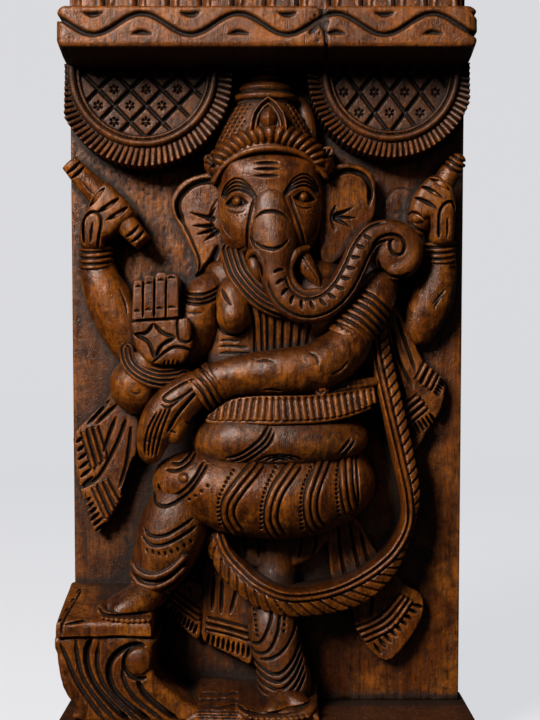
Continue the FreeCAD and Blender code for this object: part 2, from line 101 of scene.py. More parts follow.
def along(x, z, path):
    """For each point: how far along the path its nearest point is, and how far to the path's left it lies."""
    a, b = path[:-1, :2], path[1:, :2]
    run = b - a
    length = np.maximum(np.hypot(run[:, 0], run[:, 1]), 1e-6)
    start = np.concatenate([[0], np.cumsum(length)[:-1]])
    px, pz = x[..., None] - a[:, 0], z[..., None] - a[:, 1]
    t = np.clip((px * run[:, 0] + pz * run[:, 1]) / length**2, 0, 1)
    gap = np.hypot(px - t * run[:, 0], pz - t * run[:, 1])
    nearest = np.argmin(gap, axis=-1)[..., None]
    side = np.take_along_axis(run[:, 0] * pz - run[:, 1] * px, nearest, -1)[..., 0]
    travelled = np.take_along_axis(start + t * length, nearest, -1)[..., 0]
    return travelled, np.where(side >= 0, 1, -1) * np.take_along_axis(gap, nearest, -1)[..., 0]


def path_length(path):
    return float(np.sum(np.hypot(*np.diff(path[:, :2], axis=0).T)))


def heading(start, end):
    """The unit step from one (x, z) point to another."""
    run = np.array(end, float) - np.array(start, float)
    return run / np.hypot(*run)


def beside(ahead):
    """A direction turned a quarter to its left."""
    return np.array([-ahead[1], ahead[0]])


def v_cut(aside, offset, half):
    """From 1 on a line at offset from a path to 0 at half to either side of it, with a narrow flat."""
    return np.clip(1.3 * (1 - np.abs(aside - offset) / half), 0, 1)


def rounded(aside, offset, half):
    """The round section of a cord: 1 on its middle line, 0 at half to either side."""
    return np.sqrt(np.clip(1 - ((aside - offset) / half) ** 2, 0, 1))


def outline_distance(x, z, outline):
    """Signed distance from a closed outline, negative inside."""
    gap = np.full(x.shape, 1e9)
    inside = np.zeros(x.shape, bool)
    for (ax, az), (bx, bz) in zip(outline, np.roll(outline, -1, axis=0)):
        dx, dz = bx - ax, bz - az
        t = np.clip(((x - ax) * dx + (z - az) * dz) / max(dx * dx + dz * dz, 1e-9), 0, 1)
        gap = np.minimum(gap, (x - ax - t * dx) ** 2 + (z - az - t * dz) ** 2)
        crosses = (az > z) != (bz > z)
        with np.errstate(divide="ignore", invalid="ignore"):
            inside ^= crosses & (x < ax + (z - az) * dx / dz)
    return np.where(inside, -1, 1) * np.sqrt(gap)


def lattice_noise(x, z, scale_x, scale_z, seed):
    """Smooth noise from -1 to 1 over the plane, from random values on a lattice of the given spacing."""
    values = np.random.default_rng(seed).uniform(-1, 1, (257, 257))
    u, v = x / scale_x + 64, z / scale_z + 64
    iu, iv = np.floor(u).astype(int), np.floor(v).astype(int)
    fu, fv = u - iu, v - iv
    fu, fv = fu * fu * (3 - 2 * fu), fv * fv * (3 - 2 * fv)
    iu, iv = iu % 256, iv % 256
    low = values[iu, iv] * (1 - fu) + values[iu + 1, iv] * fu
    high = values[iu, iv + 1] * (1 - fu) + values[iu + 1, iv + 1] * fu
    return low * (1 - fv) + high * fv


def bump(x, z, centre, half_x, half_z):
    """A rounded hill of height 1."""
    return np.exp(-(((x - centre[0]) / half_x) ** 2) - ((z - centre[1]) / half_z) ** 2)


# Carving: a block of wood as a field of distances from its surface


class Carving:
    """A carved piece on a grid over x, rise and z; field is negative in the wood."""

    def __init__(self, low, high, cell=CELL):
        """low and high are (x, z, rise) corners."""
        self.cell = cell
        corners = ((low[0], high[0]), (low[2], high[2]), (low[1], high[1]))
        self.axes = [np.arange(a, b + cell, cell, dtype=np.float32) for a, b in corners]
        self.field = np.full([len(a) for a in self.axes], 60, np.float32)
        self.x, self.z = np.meshgrid(self.axes[0], self.axes[2], indexing="ij")
        self.depth = np.zeros(self.x.shape, np.float32)
        self.lift = np.zeros(self.x.shape, np.float32)

    def window(self, low, high):
        """The part of the grid inside a box, as slices and as open x, rise and z arrays."""
        spans = []
        for axis, a, b in zip(self.axes, (low[0], low[2], low[1]), (high[0], high[2], high[1])):
            spans.append(slice(int(np.searchsorted(axis, a)), int(np.searchsorted(axis, b))))
        x, rise, z = (axis[span] for axis, span in zip(self.axes, spans))
        return tuple(spans), x[:, None, None], rise[None, :, None], z[None, None, :]

    def join(self, spans, field, blend):
        """Adds wood, with a fillet of about blend where it meets what is there."""
        here = self.field[spans]
        easing = np.maximum(blend - np.abs(here - field), 0) / max(blend, 1e-6)
        self.field[spans] = np.minimum(here, field) - easing**2 * blend / 4

    def limb(self, stations, blend=1.5, flat=1.0, steps=5):
        """A round member through (x, z, rise, radius) stations; flat below 1 squeezes it front to back."""
        points = smooth(stations, steps)
        for a, b in zip(points, points[1:]):
            reach = max(a[3], b[3]) + MARGIN
            spans, x, rise, z = self.window(np.minimum(a, b)[:3] - reach, np.maximum(a, b)[:3] + reach)
            dx, dz, dr = b[:3] - a[:3]
            px, pz, pr = x - a[0], z - a[1], rise - a[2]
            t = np.clip((px * dx + pz * dz + pr * dr) / max(dx * dx + dz * dz + dr * dr, 1e-9), 0, 1)
            gap = np.sqrt((px - t * dx) ** 2 + (pz - t * dz) ** 2 + ((pr - t * dr) / flat) ** 2)
            self.join(spans, gap - (a[3] + t * (b[3] - a[3])), blend)

    def egg(self, centre, half, lean=0, blend=3):
        """An ellipsoid about (x, z, rise), with half sizes in that order, leaning so many degrees right."""
        reach = max(half[:2]) + MARGIN
        low = (centre[0] - reach, centre[1] - reach, centre[2] - half[2] - MARGIN)
        high = (centre[0] + reach, centre[1] + reach, centre[2] + half[2] + MARGIN)
        spans, x, rise, z = self.window(low, high)
        c, s = math.cos(math.radians(lean)), math.sin(math.radians(lean))
        px, pz, pr = x - centre[0], z - centre[1], rise - centre[2]
        across, up = c * px - s * pz, s * px + c * pz
        k0 = np.sqrt((across / half[0]) ** 2 + (up / half[1]) ** 2 + (pr / half[2]) ** 2)
        k1 = np.sqrt((across / half[0] ** 2) ** 2 + (up / half[1] ** 2) ** 2 + (pr / half[2] ** 2) ** 2)
        self.join(spans, k0 * (k0 - 1) / np.maximum(k1, 1e-6), blend)

    def slab(self, outline, top, ease=2, blend=0, curve=6):
        """Wood from the plank's face up to top, a number or an array on the grid, inside an outline."""
        edge = outline_distance(self.x, self.z, smooth(outline, curve, closed=True))
        self.block(edge, top, ease, blend)

    def block(self, edge, top, ease=2, blend=0):
        """Wood up to top where edge, an array over the grid, is negative; ease rounds the arris."""
        over = self.axes[1][None, :, None] - np.broadcast_to(top, self.x.shape)[:, None, :]
        side = np.broadcast_to(edge[:, None, :], over.shape)
        easing = np.maximum(ease - np.abs(side - over), 0) / max(ease, 1e-6)
        self.join(WHOLE, np.maximum(side, over) + easing**2 * ease / 4, blend)

    def turned(self, centre, profile, flat=1.0, blend=1):
        """A shape turned about an upright line at (x, rise); profile is a function of z that gives radii."""
        radius = profile(self.axes[2])[None, None, :]
        px, pr = self.axes[0][:, None, None] - centre[0], (self.axes[1][None, :, None] - centre[1]) / flat
        gap = np.sqrt(px**2 + pr**2) - radius
        self.join(WHOLE, np.broadcast_to(gap, self.field.shape), blend)

    def flat_window(self, path, reach):
        """The part of the (x, z) grid around a path, as slices."""
        low, high = path[:, :2].min(0) - reach, path[:, :2].max(0) + reach
        return (
            slice(*np.searchsorted(self.axes[0], (low[0], high[0]))),
            slice(*np.searchsorted(self.axes[2], (low[1], high[1]))),
        )

    def groove(self, points, width=1.8, depth=1.4, taper=4, steps=6, ridge=False, closed=False,
               form="even"):
        """A V-cut along (x, z) points, or a ridge.

        An even one runs out to nothing over taper at each end. A lens is widest at its middle. A dart starts
        at a point and widens to its far end.
        """
        path = smooth(points, steps, closed)
        if closed:
            path = np.vstack([path, path[:1]])
        here = self.flat_window(path, width + self.cell)
        travelled, aside = along(self.x[here], self.z[here], path)
        length = path_length(path)
        if form == "lens":
            fade = np.sin(math.pi * np.clip(travelled / length, 0, 1)) ** 0.7
            half = width / 2 * np.maximum(fade, 0.1)
        elif form == "dart":
            fade = np.clip(travelled / length, 0, 1) ** 0.8
            half = width / 2 * np.maximum(fade, 0.12)
        else:
            fade = np.ones(travelled.shape)
            if taper:
                fade = np.clip(np.minimum(travelled, length - travelled) / taper, 0, 1)
            half = width / 2 * (0.4 + 0.6 * fade)
        shape = np.clip(1 - np.abs(aside) / half, 0, 1)
        shape = np.sqrt(1 - (1 - shape) ** 2) if ridge else np.clip(1.3 * shape, 0, 1)
        target = self.lift if ridge else self.depth
        target[here] = np.maximum(target[here], BITE * depth * np.sqrt(fade) * shape)

    def gouge(self, outline, depth=2.0, slope=1.4, curve=5):
        """A hollow inside a closed (x, z) outline, whose walls fall so steeply from its edge."""
        path = smooth(outline, curve, closed=True)
        here = self.flat_window(path, self.cell)
        inside = -outline_distance(self.x[here], self.z[here], path)
        self.depth[here] = np.maximum(self.depth[here], np.clip(inside * slope, 0, depth * BITE))

    def ridge(self, points, width=2, height=1, taper=3):
        """A raised cord along (x, z) points."""
        self.groove(points, width, height, taper, ridge=True)

    def dot(self, x, z, radius=1, depth=1.2):
        """A drilled dimple, or a bead where depth is negative."""
        here = self.flat_window(np.array([[x, z]]), radius + self.cell)
        gap = np.hypot(self.x[here] - x, self.z[here] - z) / radius
        shape = np.sqrt(np.clip(1 - gap**2, 0, 1))
        target = self.depth if depth > 0 else self.lift
        target[here] = np.maximum(target[here], BITE * abs(depth) * shape)

    def finish(self, chisel=0.16, seed=1):
        """Takes the cuts out of the wood, leaves the chisel's small facets, and returns the surface."""
        facets = chisel * lattice_noise(self.x, self.z, 3.1, 5.3, seed) + chisel * lattice_noise(
            self.x, self.z, 8.7, 12.1, seed + 1)
        carved = self.field + (self.depth - self.lift + facets)[:, None, :]
        points, quads = surface_net(carved.astype(np.float32), self.axes, self.cell)
        i = ((points[:, 0] - self.axes[0][0]) / self.cell).round().astype(int)
        j = ((points[:, 2] - self.axes[2][0]) / self.cell).round().astype(int)
        at = np.clip(i, 0, self.x.shape[0] - 1), np.clip(j, 0, self.x.shape[1] - 1)
        return points, quads[:, ::-1], self.depth[at] - self.lift[at]


def surface_net(field, axes, cell):
    """The zero surface as (x, rise, z) points and quads: a point in each cell that it crosses."""
    field = np.pad(field, 1, constant_values=3)
    shape = np.array(field.shape)
    strides = np.array([shape[1] * shape[2], shape[2], 1])
    totals = np.zeros((3, field.size))
    counts = np.zeros(field.size)
    crossings = []
    for axis in range(3):
        head = [slice(None)] * 3
        tail = [slice(None)] * 3
        head[axis], tail[axis] = slice(None, -1), slice(1, None)
        a, b = field[tuple(head)], field[tuple(tail)]
        where = np.argwhere((a < 0) != (b < 0))
        first, second = a[tuple(where.T)], b[tuple(where.T)]
        spot = where.astype(float)
        spot[:, axis] += first / (first - second)
        corner = where @ strides
        u, v = strides[(axis + 1) % 3], strides[(axis + 2) % 3]
        around = np.stack([corner, corner - u, corner - u - v, corner - v], axis=1)
        for k in range(4):
            counts += np.bincount(around[:, k], minlength=field.size)
            for n in range(3):
                totals[n] += np.bincount(around[:, k], weights=spot[:, n], minlength=field.size)
        crossings.append(np.where((first < 0)[:, None], around, around[:, ::-1]))
    used = np.flatnonzero(counts)
    number = np.zeros(field.size, int)
    number[used] = np.arange(len(used))
    origin = np.array([axis[0] for axis in axes]) - cell
    points = (totals[:, used] / counts[used]).T * cell + origin
    return points, number[np.vstack(crossings)]


def close_sheet(x, z, rise, floor):
    """A closed thin board from grids of x, z and rise: its top follows them, and its underside is flat."""
    rows, columns = x.shape
    top = np.stack([x, rise, z], axis=-1).reshape(-1, 3)
    index = np.arange(rows * columns).reshape(rows, columns)
    corners = [index[:-1, :-1], index[1:, :-1], index[1:, 1:], index[:-1, 1:]]
    quads = np.stack(corners, axis=-1).reshape(-1, 4)
    rim = np.concatenate([index[:-1, 0], index[-1, :-1], index[:0:-1, -1], index[0, :0:-1]])
    under = top[rim].copy()
    under[:, 1] = floor
    low = len(top) + np.arange(len(rim))
    walls = np.stack([np.roll(rim, -1), rim, low, np.roll(low, -1)], axis=1)
    return np.vstack([top, under]), [*quads.tolist(), *walls.tolist(), low[::-1].tolist()]


# Pieces


surfaces = {}


def keep(name, surface):
    """Stores a carved surface of (x, rise, z) points, faces and depth of cut, to be finished as a piece."""
    surfaces[name] = surface


# The frame


def plank_ground():
    """The carved ground of the plank: a thin skin over its face."""
    step = 1.45
    z = np.arange(35, 521, step)
    span = np.linspace(-1, 1, int(300 / step))
    half = 147 + (z - 35) / 565 * 5.5
    x = span[:, None] * half[None, :]
    z = np.broadcast_to(z, x.shape)
    rise = 0.75 + 0.22 * lattice_noise(x, z, 4.5, 38, 11) + 0.15 * lattice_noise(x, z, 14, 60, 12)
    rough = np.clip((z - 300) / 60, 0, 1) * np.clip((20 - x) / 60, 0, 1)
    rise = rise + (0.06 + 0.2 * rough) * lattice_noise(x, z, 1.9, 3.4, 13)
    arc = smooth([(87.5, 409), (90.5, 420), (100, 429), (111, 428)])
    cross = [np.array([(97, 411), (110, 411)], float), np.array([(103, 406), (104, 417)], float)]
    cut = np.zeros(x.shape)
    for path in [arc, *cross]:
        cut = np.maximum(cut, 0.65 * np.clip(1 - np.abs(along(x, z, path)[1]) / 1.3, 0, 1))
    rise = np.maximum(rise - cut, 0.1)
    points, faces = close_sheet(x, z, rise, -0.5)
    depth = np.zeros(len(points))
    depth[: cut.size] = cut.ravel()
    keep("plank_ground", (points, faces, depth))


def cornice():
    carving = Carving((-153, 513, -1), (153, 554, 71), cell=0.95)
    rise, z = np.meshgrid(carving.axes[1], carving.axes[2], indexing="ij")
    profile = [(-3, 514), (40, 518), (64, 522.3), (69, 523.4), (70, 525.8), (70, 550.5), (68.7, 552.6),
               (-3, 553)]
    section = outline_distance(rise, z, np.array(profile, float))
    ends = np.abs(carving.axes[0]) - 152.3
    a, b = section[None, :, :], ends[:, None, None]
    ease = np.clip(8 - np.abs(a - b), 0, 8) / 8
    carving.field = (np.maximum(a, b) + ease**2 * 2).astype(np.float32)
    half_wave, first_dip = 35, -125.4
    x = np.arange(-153, 154, 3)
    wave = [(a, 539.4 - 7.6 * math.cos(math.pi * (a - first_dip) / half_wave)) for a in x]
    carving.groove(wave, 4.6, 2.4, 0, 1)
    for i in range(-1, 9):
        at = first_dip + i * half_wave
        if i % 2 == 0:
            carving.gouge(crescent(at, 548.4, 8.6, -5, 0), 2.4, 1.6, 1)
        else:
            carving.gouge(crescent(at, 531.2, 8.8, 0, 4.6), 2.4, 1.6, 1)
    # An old crack through the front, filled with dark paste
    carving.groove([(40, 553), (41, 548), (38.5, 542), (41.5, 536), (42.5, 528), (43.5, 520)], 3.6, 1.7, 0)
    carving.groove([(30, 531.5), (36, 538), (41, 543), (48, 548)], 5.5, 1.3, 3)
    filler = [(35.5, 553), (44, 553), (42.5, 546), (45.5, 541), (41.5, 534), (38, 536), (35.5, 542),
              (38.5, 547)]
    carving.gouge(filler, 1.3, 1.5, 3)
    for _ in range(26):
        at, height = rng.normal(40, 4), rng.uniform(527, 550)
        carving.dot(at, height, rng.uniform(0.8, 1.5), rng.uniform(0.4, 1.1))
    keep("cornice", carving.finish(0.14, 21))


def upper_frieze():
    carving = Carving((-146, 553, -1), (146, 600.5, 44.5), cell=1.2)
    petals = 12
    pitch = 288 / petals
    u = (carving.x / pitch) % 1 - 0.5
    height = (carving.z - 553) / 36
    half = 0.47 * np.sqrt(np.clip(1 - np.clip(height, 0, 1) ** 2.2, 0, 1))
    inside = np.clip((half - np.abs(u)) * pitch / 3, 0, 1)
    inner = np.clip((half * 0.62 - np.abs(u)) * pitch / 2.5, 0, 1) * (height < 0.75)
    top = 36 + 5 * np.sqrt(inside) - 2.2 * np.sqrt(inner) + 1.5 * inner**2
    rail = np.clip((carving.z - 591) / 1.5, 0, 1)
    top = np.where(rail > 0, 36 + 7 * rail, top)
    carving.block(np.abs(carving.x) - 145.5, top, 2)
    keep("upper_frieze", carving.finish(0.14, 23))


def board(name, low, high, ease, seed, cell=1.4):
    """A plain squared board with worn arrises."""
    carving = Carving((low[0] - 1, low[1] - 1, low[2] - 1), (high[0] + 1, high[1] + 1, high[2] + 1), cell)
    x = carving.axes[0][:, None, None]
    rise = carving.axes[1][None, :, None]
    z = carving.axes[2][None, None, :]
    wear = ease * (1 + 0.4 * lattice_noise(x + 0 * z, z + 0 * x, 23, 17, seed))
    parts = [low[0] - x, x - high[0], low[1] - z, z - high[1], low[2] - rise, rise - high[2]]
    outside = [np.maximum(part + wear, 0) for part in parts]
    corner = np.sqrt(sum(part**2 for part in outside))
    inside = np.minimum(np.maximum.reduce([part + wear for part in np.broadcast_arrays(*parts)]), 0)
    carving.field = (corner + inside - wear).astype(np.float32)
    keep(name, carving.finish(0.12, seed))


def medallion(name, centre, radius, ring_centre, ring, crossing, pitch, edge, fan_ribs):
    """Half a rosette under the cornice: a fan of ribs, a beaded ring and a lattice of flowers."""
    carving = Carving((centre[0] - radius - 1, centre[1] - radius - 1, -1),
                      (centre[0] + radius + 1, 519, 38), 0.68)
    x, z = carving.x, carving.z
    out = np.hypot(x - ring_centre[0], z - ring_centre[1])
    turn = np.arctan2(z - ring_centre[1], x - ring_centre[0])
    reach = np.hypot(x - centre[0], z - centre[1])
    rib = np.abs(np.cos(turn * fan_ribs + 0.03 * math.pi * (out - ring)))
    outward = 1 - np.clip((radius - reach) / (radius - reach + np.maximum(out - ring, 0.1)), 0, 1)
    beyond = np.clip((out - ring - 3.2) / 1.5, 0, 1)
    top = 25.5 + 7.2 * outward**0.8
    gap = np.clip(1 - rib / (0.40 + 0.42 * outward), 0, 1)
    top = top - (2.4 + 3.6 * outward) * gap * beyond
    ring_top = 26.5 + 5.0 * np.sqrt(np.clip(1 - ((out - ring) / 3.0) ** 2, 0, 1))
    inner_top = 25.0 + 3.4 * np.sqrt(np.clip(1 - ((out - ring + 4.5) / 1.5) ** 2, 0, 1))
    top = np.where(out < ring + 3.2, np.where(out > ring - 2.9, ring_top, inner_top), top)
    top = np.where(out < ring - 6.2, 25.5, top)
    outside = reach - radius + 2.4 * np.clip(1 - rib / 0.8, 0, 1)
    carving.block(np.maximum(outside, edge * x - 152.2), top, 1.0)
    u, v = (x - crossing[0]) / pitch[0], (z - crossing[1]) / pitch[1]
    across = 1 / math.hypot(1 / pitch[0], 1 / pitch[1])
    lines = np.minimum(np.abs((u + v + 0.5) % 1 - 0.5), np.abs((u - v + 0.5) % 1 - 0.5)) * across
    panel = np.clip((ring - 6.0 - out) / 1.0, 0, 1)
    carving.depth = np.maximum(carving.depth, 3.4 * panel * np.clip(1.25 * (1 - lines / 1.8), 0, 1))
    for i in range(-6, 7):
        for j in range(-6, 7):
            fx, fz = crossing[0] + i * pitch[0] / 2, crossing[1] + j * pitch[1] / 2
            inside = math.hypot(fx - ring_centre[0], fz - ring_centre[1]) < ring - 9.5 and fz < 517
            if (i + j) % 2 == 1 and inside:
                flower(carving, fx, fz, 3.9)
    keep(name, carving.finish(0.12, 31))


# The head


def carve_crown_cap():
    cap = Carving((-44, 451, -1), (48, 523, 60), 0.65)
    heights = [438, 459, 470, 482, 490, 491.8, 493, 495.3, 497.4, 499, 502, 505, 507, 508, 510, 512, 513,
               515, 517.5]
    radii = [41, 37.5, 33, 27, 22, 20.5, 23.5, 24.4, 22.5, 18.6, 20, 17.5, 11.5, 11.5, 13, 11.2, 9.2, 10.2,
             10.6]
    cap.turned((-1.5, 18), lambda z: np.interp(z, heights + [520, 524], radii + [8.5, 8]), 0.82)
    cap.limb([(25, 494, 9, 4.5), (29, 485, 12, 6.2), (31, 475, 13, 6), (33, 466, 13, 5)], 1)
    for row in range(9):
        z = 461 + 3.4 * row
        reach = int((38 - row * 1.9) / 3.9)
        for i in range(-reach, reach + 1):
            x = -1 + 3.9 * (i + 0.5 * (row % 2))
            arch = 16.5 * math.sqrt(max(0, 1 - ((z - 463) / 31) ** 2))
            if abs(x - 0.8) > arch + 1.6:
                cap.gouge(np.array([(x - 1.7, z - 1.2), (x + 1.7, z - 1.2), (x, z + 1.8)]), 2.0, 2.2, 1)
    for z, reach in ((490.6, 22), (498.6, 19), (507.3, 12), (513.2, 10)):
        cap.groove([(-1.5 - reach, z - 1.5), (-1.5, z + 0.4), (-1.5 + reach, z - 1.5)], 2.0, 1.2, 0)
    keep("crown_cap", cap.finish(0.1, 41))


def carve_crown_band():
    fillet = Carving((-50, 428, -1), (54, 478, 60), 0.65)
    bead = smooth([(-40, 431), (-33, 441), (-18, 449.6), (1, 453), (21, 450.6), (35, 444), (44, 434)], 8)
    petals = smooth([(-39, 444), (-31, 452), (-18, 459.5), (-4, 463.2), (8, 463.7), (22, 460), (34, 452.5),
                     (42, 443)], 8)
    _, aside = along(fillet.x, fillet.z, bead)
    sweep = 0.009 * (fillet.x - 2) ** 2
    fillet.block(np.abs(aside) - 2.3, 50 + 2.6 * rounded(aside, 0, 2.5) - sweep, 0.8)
    travelled, aside = along(fillet.x, fillet.z, petals)
    off = travelled - path_length(petals) / 2
    phase = (off - 1.8 * np.tanh(off / 6) - 0.28 * aside * np.tanh(off / 10)) / 5.4
    lobe = np.abs(np.cos(math.pi * phase))
    dome = np.sqrt(np.clip(1 - (aside / 9) ** 2, 0, 1))
    top = 42.5 + 12 * dome - 0.9 * sweep - 4.4 * (1 - lobe**0.55)
    tall = 8.6 - 3.4 * (1 - lobe) ** 1.5
    fillet.block(np.abs(aside) - tall, top, 1.5, 0.3)
    for x, z, side in ((-44, 446, -1), (47, 452, 1)):
        leaf = [(x - 6 * side, z - 7), (x + 1 * side, z - 6), (x + 4 * side, z + 5), (x - 4 * side, z + 6)]
        fillet.slab(leaf, 21, 2)
        for end in ((x - 3 * side, z + 5), (x + 1 * side, z + 4.5), (x + 3 * side, z)):
            fillet.groove([(x - 5 * side, z - 6), end], 2.2, 1.8, 1.5)
    keep("crown_band", fillet.finish(0.08, 42))


def carve_crown_jewel():
    jewel = Carving((-17, 454, -1), (20, 494, 64), 0.55)
    half = [(14.4, 455), (14.4, 467), (13.6, 473.5), (11.8, 479.6), (7, 486.5), (0, 491.8)]
    outline = np.array([(1 + w, z) for w, z in half] + [(1 - w, z) for w, z in half[-2::-1]])
    inward = -outline_distance(jewel.x, jewel.z, outline)
    top = 49.5 + 4.0 * rounded(inward, 1.3, 1.3)
    top = np.maximum(top, 49.5 + 3.0 * rounded(inward, 5.0, 1.2))
    drop = outline_distance(jewel.x, jewel.z, smooth([(1, 484), (6.4, 479), (7.2, 472.5), (1, 465.5),
                                                      (-5.2, 472.5), (-4.4, 479)], 6, closed=True))
    top = np.maximum(top, 48.5 + 7.5 * np.sqrt(np.clip(-drop / 6, 0, 1)))
    below = 468 - jewel.z
    jewel.block(-inward, top + np.where(below > 0, -0.45, 0.1) * below, 0.8)
    keep("crown_jewel", jewel.finish(0.05, 43))


def head():
    carving = Carving((-42, 368, -1), (48, 456, 62), 0.62)
    x, z = carving.x, carving.z
    outline = [(-35, 452), (-38, 440), (-37.5, 420), (-36.5, 398), (-33, 385), (-25, 377), (-12, 373),
               (4, 370), (20, 373)]
    outline += [(31, 379), (38.5, 389), (42.5, 405), (43, 422), (42.5, 441), (38, 454), (2, 456)]
    top = 50 - 0.0062 * (x - 2) ** 2 - 0.0012 * (z - 425) ** 2
    top = top + 2.6 * bump(x, z, (-23, 396), 12, 15) + 2.6 * bump(x, z, (29, 396), 11, 15)
    top = top + 2.4 * bump(x, z, (1, 437), 20, 10)
    top = top + 3.0 * bump(x, z, (4, 404), 15, 20)
    for ex, ez in ((-22.7, 414.4), (27.7, 417.7)):
        top = top - 2.6 * bump(x, z, (ex, ez), 10.5, 6.5)
    carving.slab(outline, top, 22)
    # Three bars on the brow
    for bar in (442, 437.3, 432.2):
        carving.gouge(crescent(0, bar, 10.8, -1.5, 1.5), 2.4, 2.4, 1)
    eye(carving, -22.7, 414.4, -1)
    eye(carving, 27.7, 417.7, 1)
    # Creases beside the bridge
    carving.groove([(-9.5, 416), (-12.5, 404), (-14.5, 391), (-14.5, 379)], 2.6, 1.6, 5)
    carving.groove([(17, 418), (20.5, 406), (25.5, 392), (28, 382)], 2.6, 1.6, 5)
    carving.groove([(-30, 381), (-22, 379), (-14, 382)], 1.8, 1.0, form="lens")
    carving.groove([(-34, 402), (-30, 392), (-24, 386)], 1.6, 0.9, form="lens")
    carving.groove([(38, 402), (35, 392), (30, 386)], 1.6, 0.9, form="lens")
    keep("head", carving.finish(0.12, 51))


def carve_trunk():
    carving = Carving((-22, 320, -1), (120, 430, 66), 0.66)
    rope = [(3, 414, 41, 9.5), (4, 405, 44, 11), (5, 394, 46, 12), (6, 384, 46.5, 12.5),
            (6.4, 375, 46, 12.5), (6.2, 366, 46, 11.4), (7.5, 355, 47, 10.6), (13, 343.5, 47, 10.6),
            (23, 336.5, 46.5, 10.8), (34, 335.5, 45.5, 10.8), (46, 340.5, 44.5, 10.6), (56, 351, 44, 10.4),
            (63.5, 365, 43, 10), (70, 379, 41.5, 9.6), (79, 389.5, 39, 9), (91, 392.5, 37.5, 8.6),
            (102, 389, 36.5, 8.4), (108, 380, 35.5, 8), (105, 368.5, 35.5, 7.6), (95, 363.5, 36, 7)]
    carving.limb(rope, 1.5, 1.0, 6)
    root = [(-9, 417), (-11, 407), (-13, 395), (-14, 384), (-11, 377.5), (-3, 372), (12, 371), (20, 375),
            (22.5, 384), (20.5, 396), (17, 408), (13.5, 418), (9, 423), (2, 425), (-5, 422.6)]
    carving.slab(root, 56.5 - 0.016 * (carving.x - 4.5) ** 2 - 0.0035 * (carving.z - 392) ** 2, 7, 3, 4)
    curl = (94.5, 379.5)
    x, z = carving.x, carving.z
    around = np.hypot(x - curl[0], z - curl[1])
    carving.block(around - 18.5, 44.5 - 0.012 * around**2, 4, 2)
    spiral = [(77, 375.3), (78.8, 382.3), (84, 387.6), (92, 389.7), (99, 387.3), (101.7, 381.5),
              (99.6, 375.7), (94.6, 375), (91.5, 378.8), (91, 384), (93.8, 386.3)]
    carving.groove(spiral, 2.8, 2.4, 4)
    carving.groove([(82.3, 371.8), (85, 364.8), (92, 359.8), (99.9, 358.8), (106.5, 362)], 2.8, 2.2, 4)
    line = smooth([p[:2] for p in rope[5:16]], 8)
    travelled, aside = along(x, z, line)
    length = path_length(line)
    # A rim line along each edge
    for offset, depth in ((-6.8, 1.9), (6.4, 2.1)):
        keep_in = np.clip(np.minimum(travelled - 8, length - 1 - travelled) / 6, 0, 1)
        carving.depth = np.maximum(carving.depth, depth * keep_in * v_cut(aside, offset, 1.25))
    # Wrinkles across the trunk
    arc = np.concatenate([[0], np.cumsum(np.hypot(*np.diff(line, axis=0).T))])
    wrinkle = 8.6
    for i in range(int((length - 8) / wrinkle)):
        at = 4 + wrinkle * i
        spot = np.array([np.interp(at, arc, line[:, n]) for n in range(2)])
        ahead = np.array([np.interp(at + 1, arc, line[:, n]) for n in range(2)]) - spot
        across = np.array([-ahead[1], ahead[0]]) / np.hypot(*ahead)
        a, b = spot + across * 6.2 - ahead * 0.6, spot - across * 2.0 + ahead * 1.2
        carving.groove([b, (a + b) / 2 - 0.9 * ahead, a], 2.9, 2.2, form="lens")
    # Folds over the bridge
    carving.groove([(-10, 414), (-5, 421.3), (3, 423.8), (10, 421.3), (15.5, 415)], 3.0, 2.1, form="lens")
    carving.groove([(-9.5, 400.5), (-3, 405.0), (5, 405.6), (12, 403.2), (17.5, 397.5)], 3.0, 2.1,
                   form="lens")
    carving.groove([(-9.5, 384), (-3, 379.6), (5, 378), (11, 380.4), (16.5, 386)], 3.2, 2.2, form="lens")
    # Steps down each side of the root
    for path in ([(-9, 409), (-11.5, 399), (-11.5, 388), (-9, 379)],
                 [(16, 409), (21, 397), (23.5, 387), (21.5, 379)]):
        carving.groove(path, 2.4, 1.7, 5)
    # Lips around the tusks
    carving.limb([(-14, 371.5, 38, 2.2), (-12, 376.4, 44, 2.7), (-7.6, 377.4, 49.5, 2.9),
                  (-3.2, 372, 52, 2.7), (0, 361, 53, 1.8)], 0.6)
    carving.limb([(30, 380, 42, 2.4), (21.5, 375.4, 49.5, 2.9), (16.8, 364, 50, 2.8),
                  (19.5, 353.5, 50, 2.8), (28, 347.2, 50, 2.6), (39.8, 348.2, 48.5, 2)], 0.6)
    carving.groove([(-6.8, 370.5), (-4.2, 365), (-3.2, 357)], 2.4, 1.8, form="lens")
    carving.groove([(22.4, 370), (20.4, 363.5), (22.6, 356.5)], 2.4, 1.8, form="lens")
    keep("trunk", carving.finish(0.1, 52))


def carve_tusks():
    left = Carving((-18, 348, -1), (4, 382, 56), 0.6)
    left.limb([(-10, 375, 36, 4.4), (-9.6, 369, 40, 4.2), (-8, 362.5, 42, 3.4), (-6, 356.5, 42, 1.4)])
    keep("left_tusk", left.finish(0.05, 53))
    right = Carving((14, 344, -1), (48, 386, 60), 0.6)
    right.limb([(23, 380, 34, 6), (26, 373, 39, 6.4), (31, 363.5, 42, 5.4), (38.5, 352.6, 43, 1.6)])
    right.groove([(25, 375), (31, 366), (38, 355)], 1.2, 0.6, 3)
    keep("right_tusk", right.finish(0.05, 54))


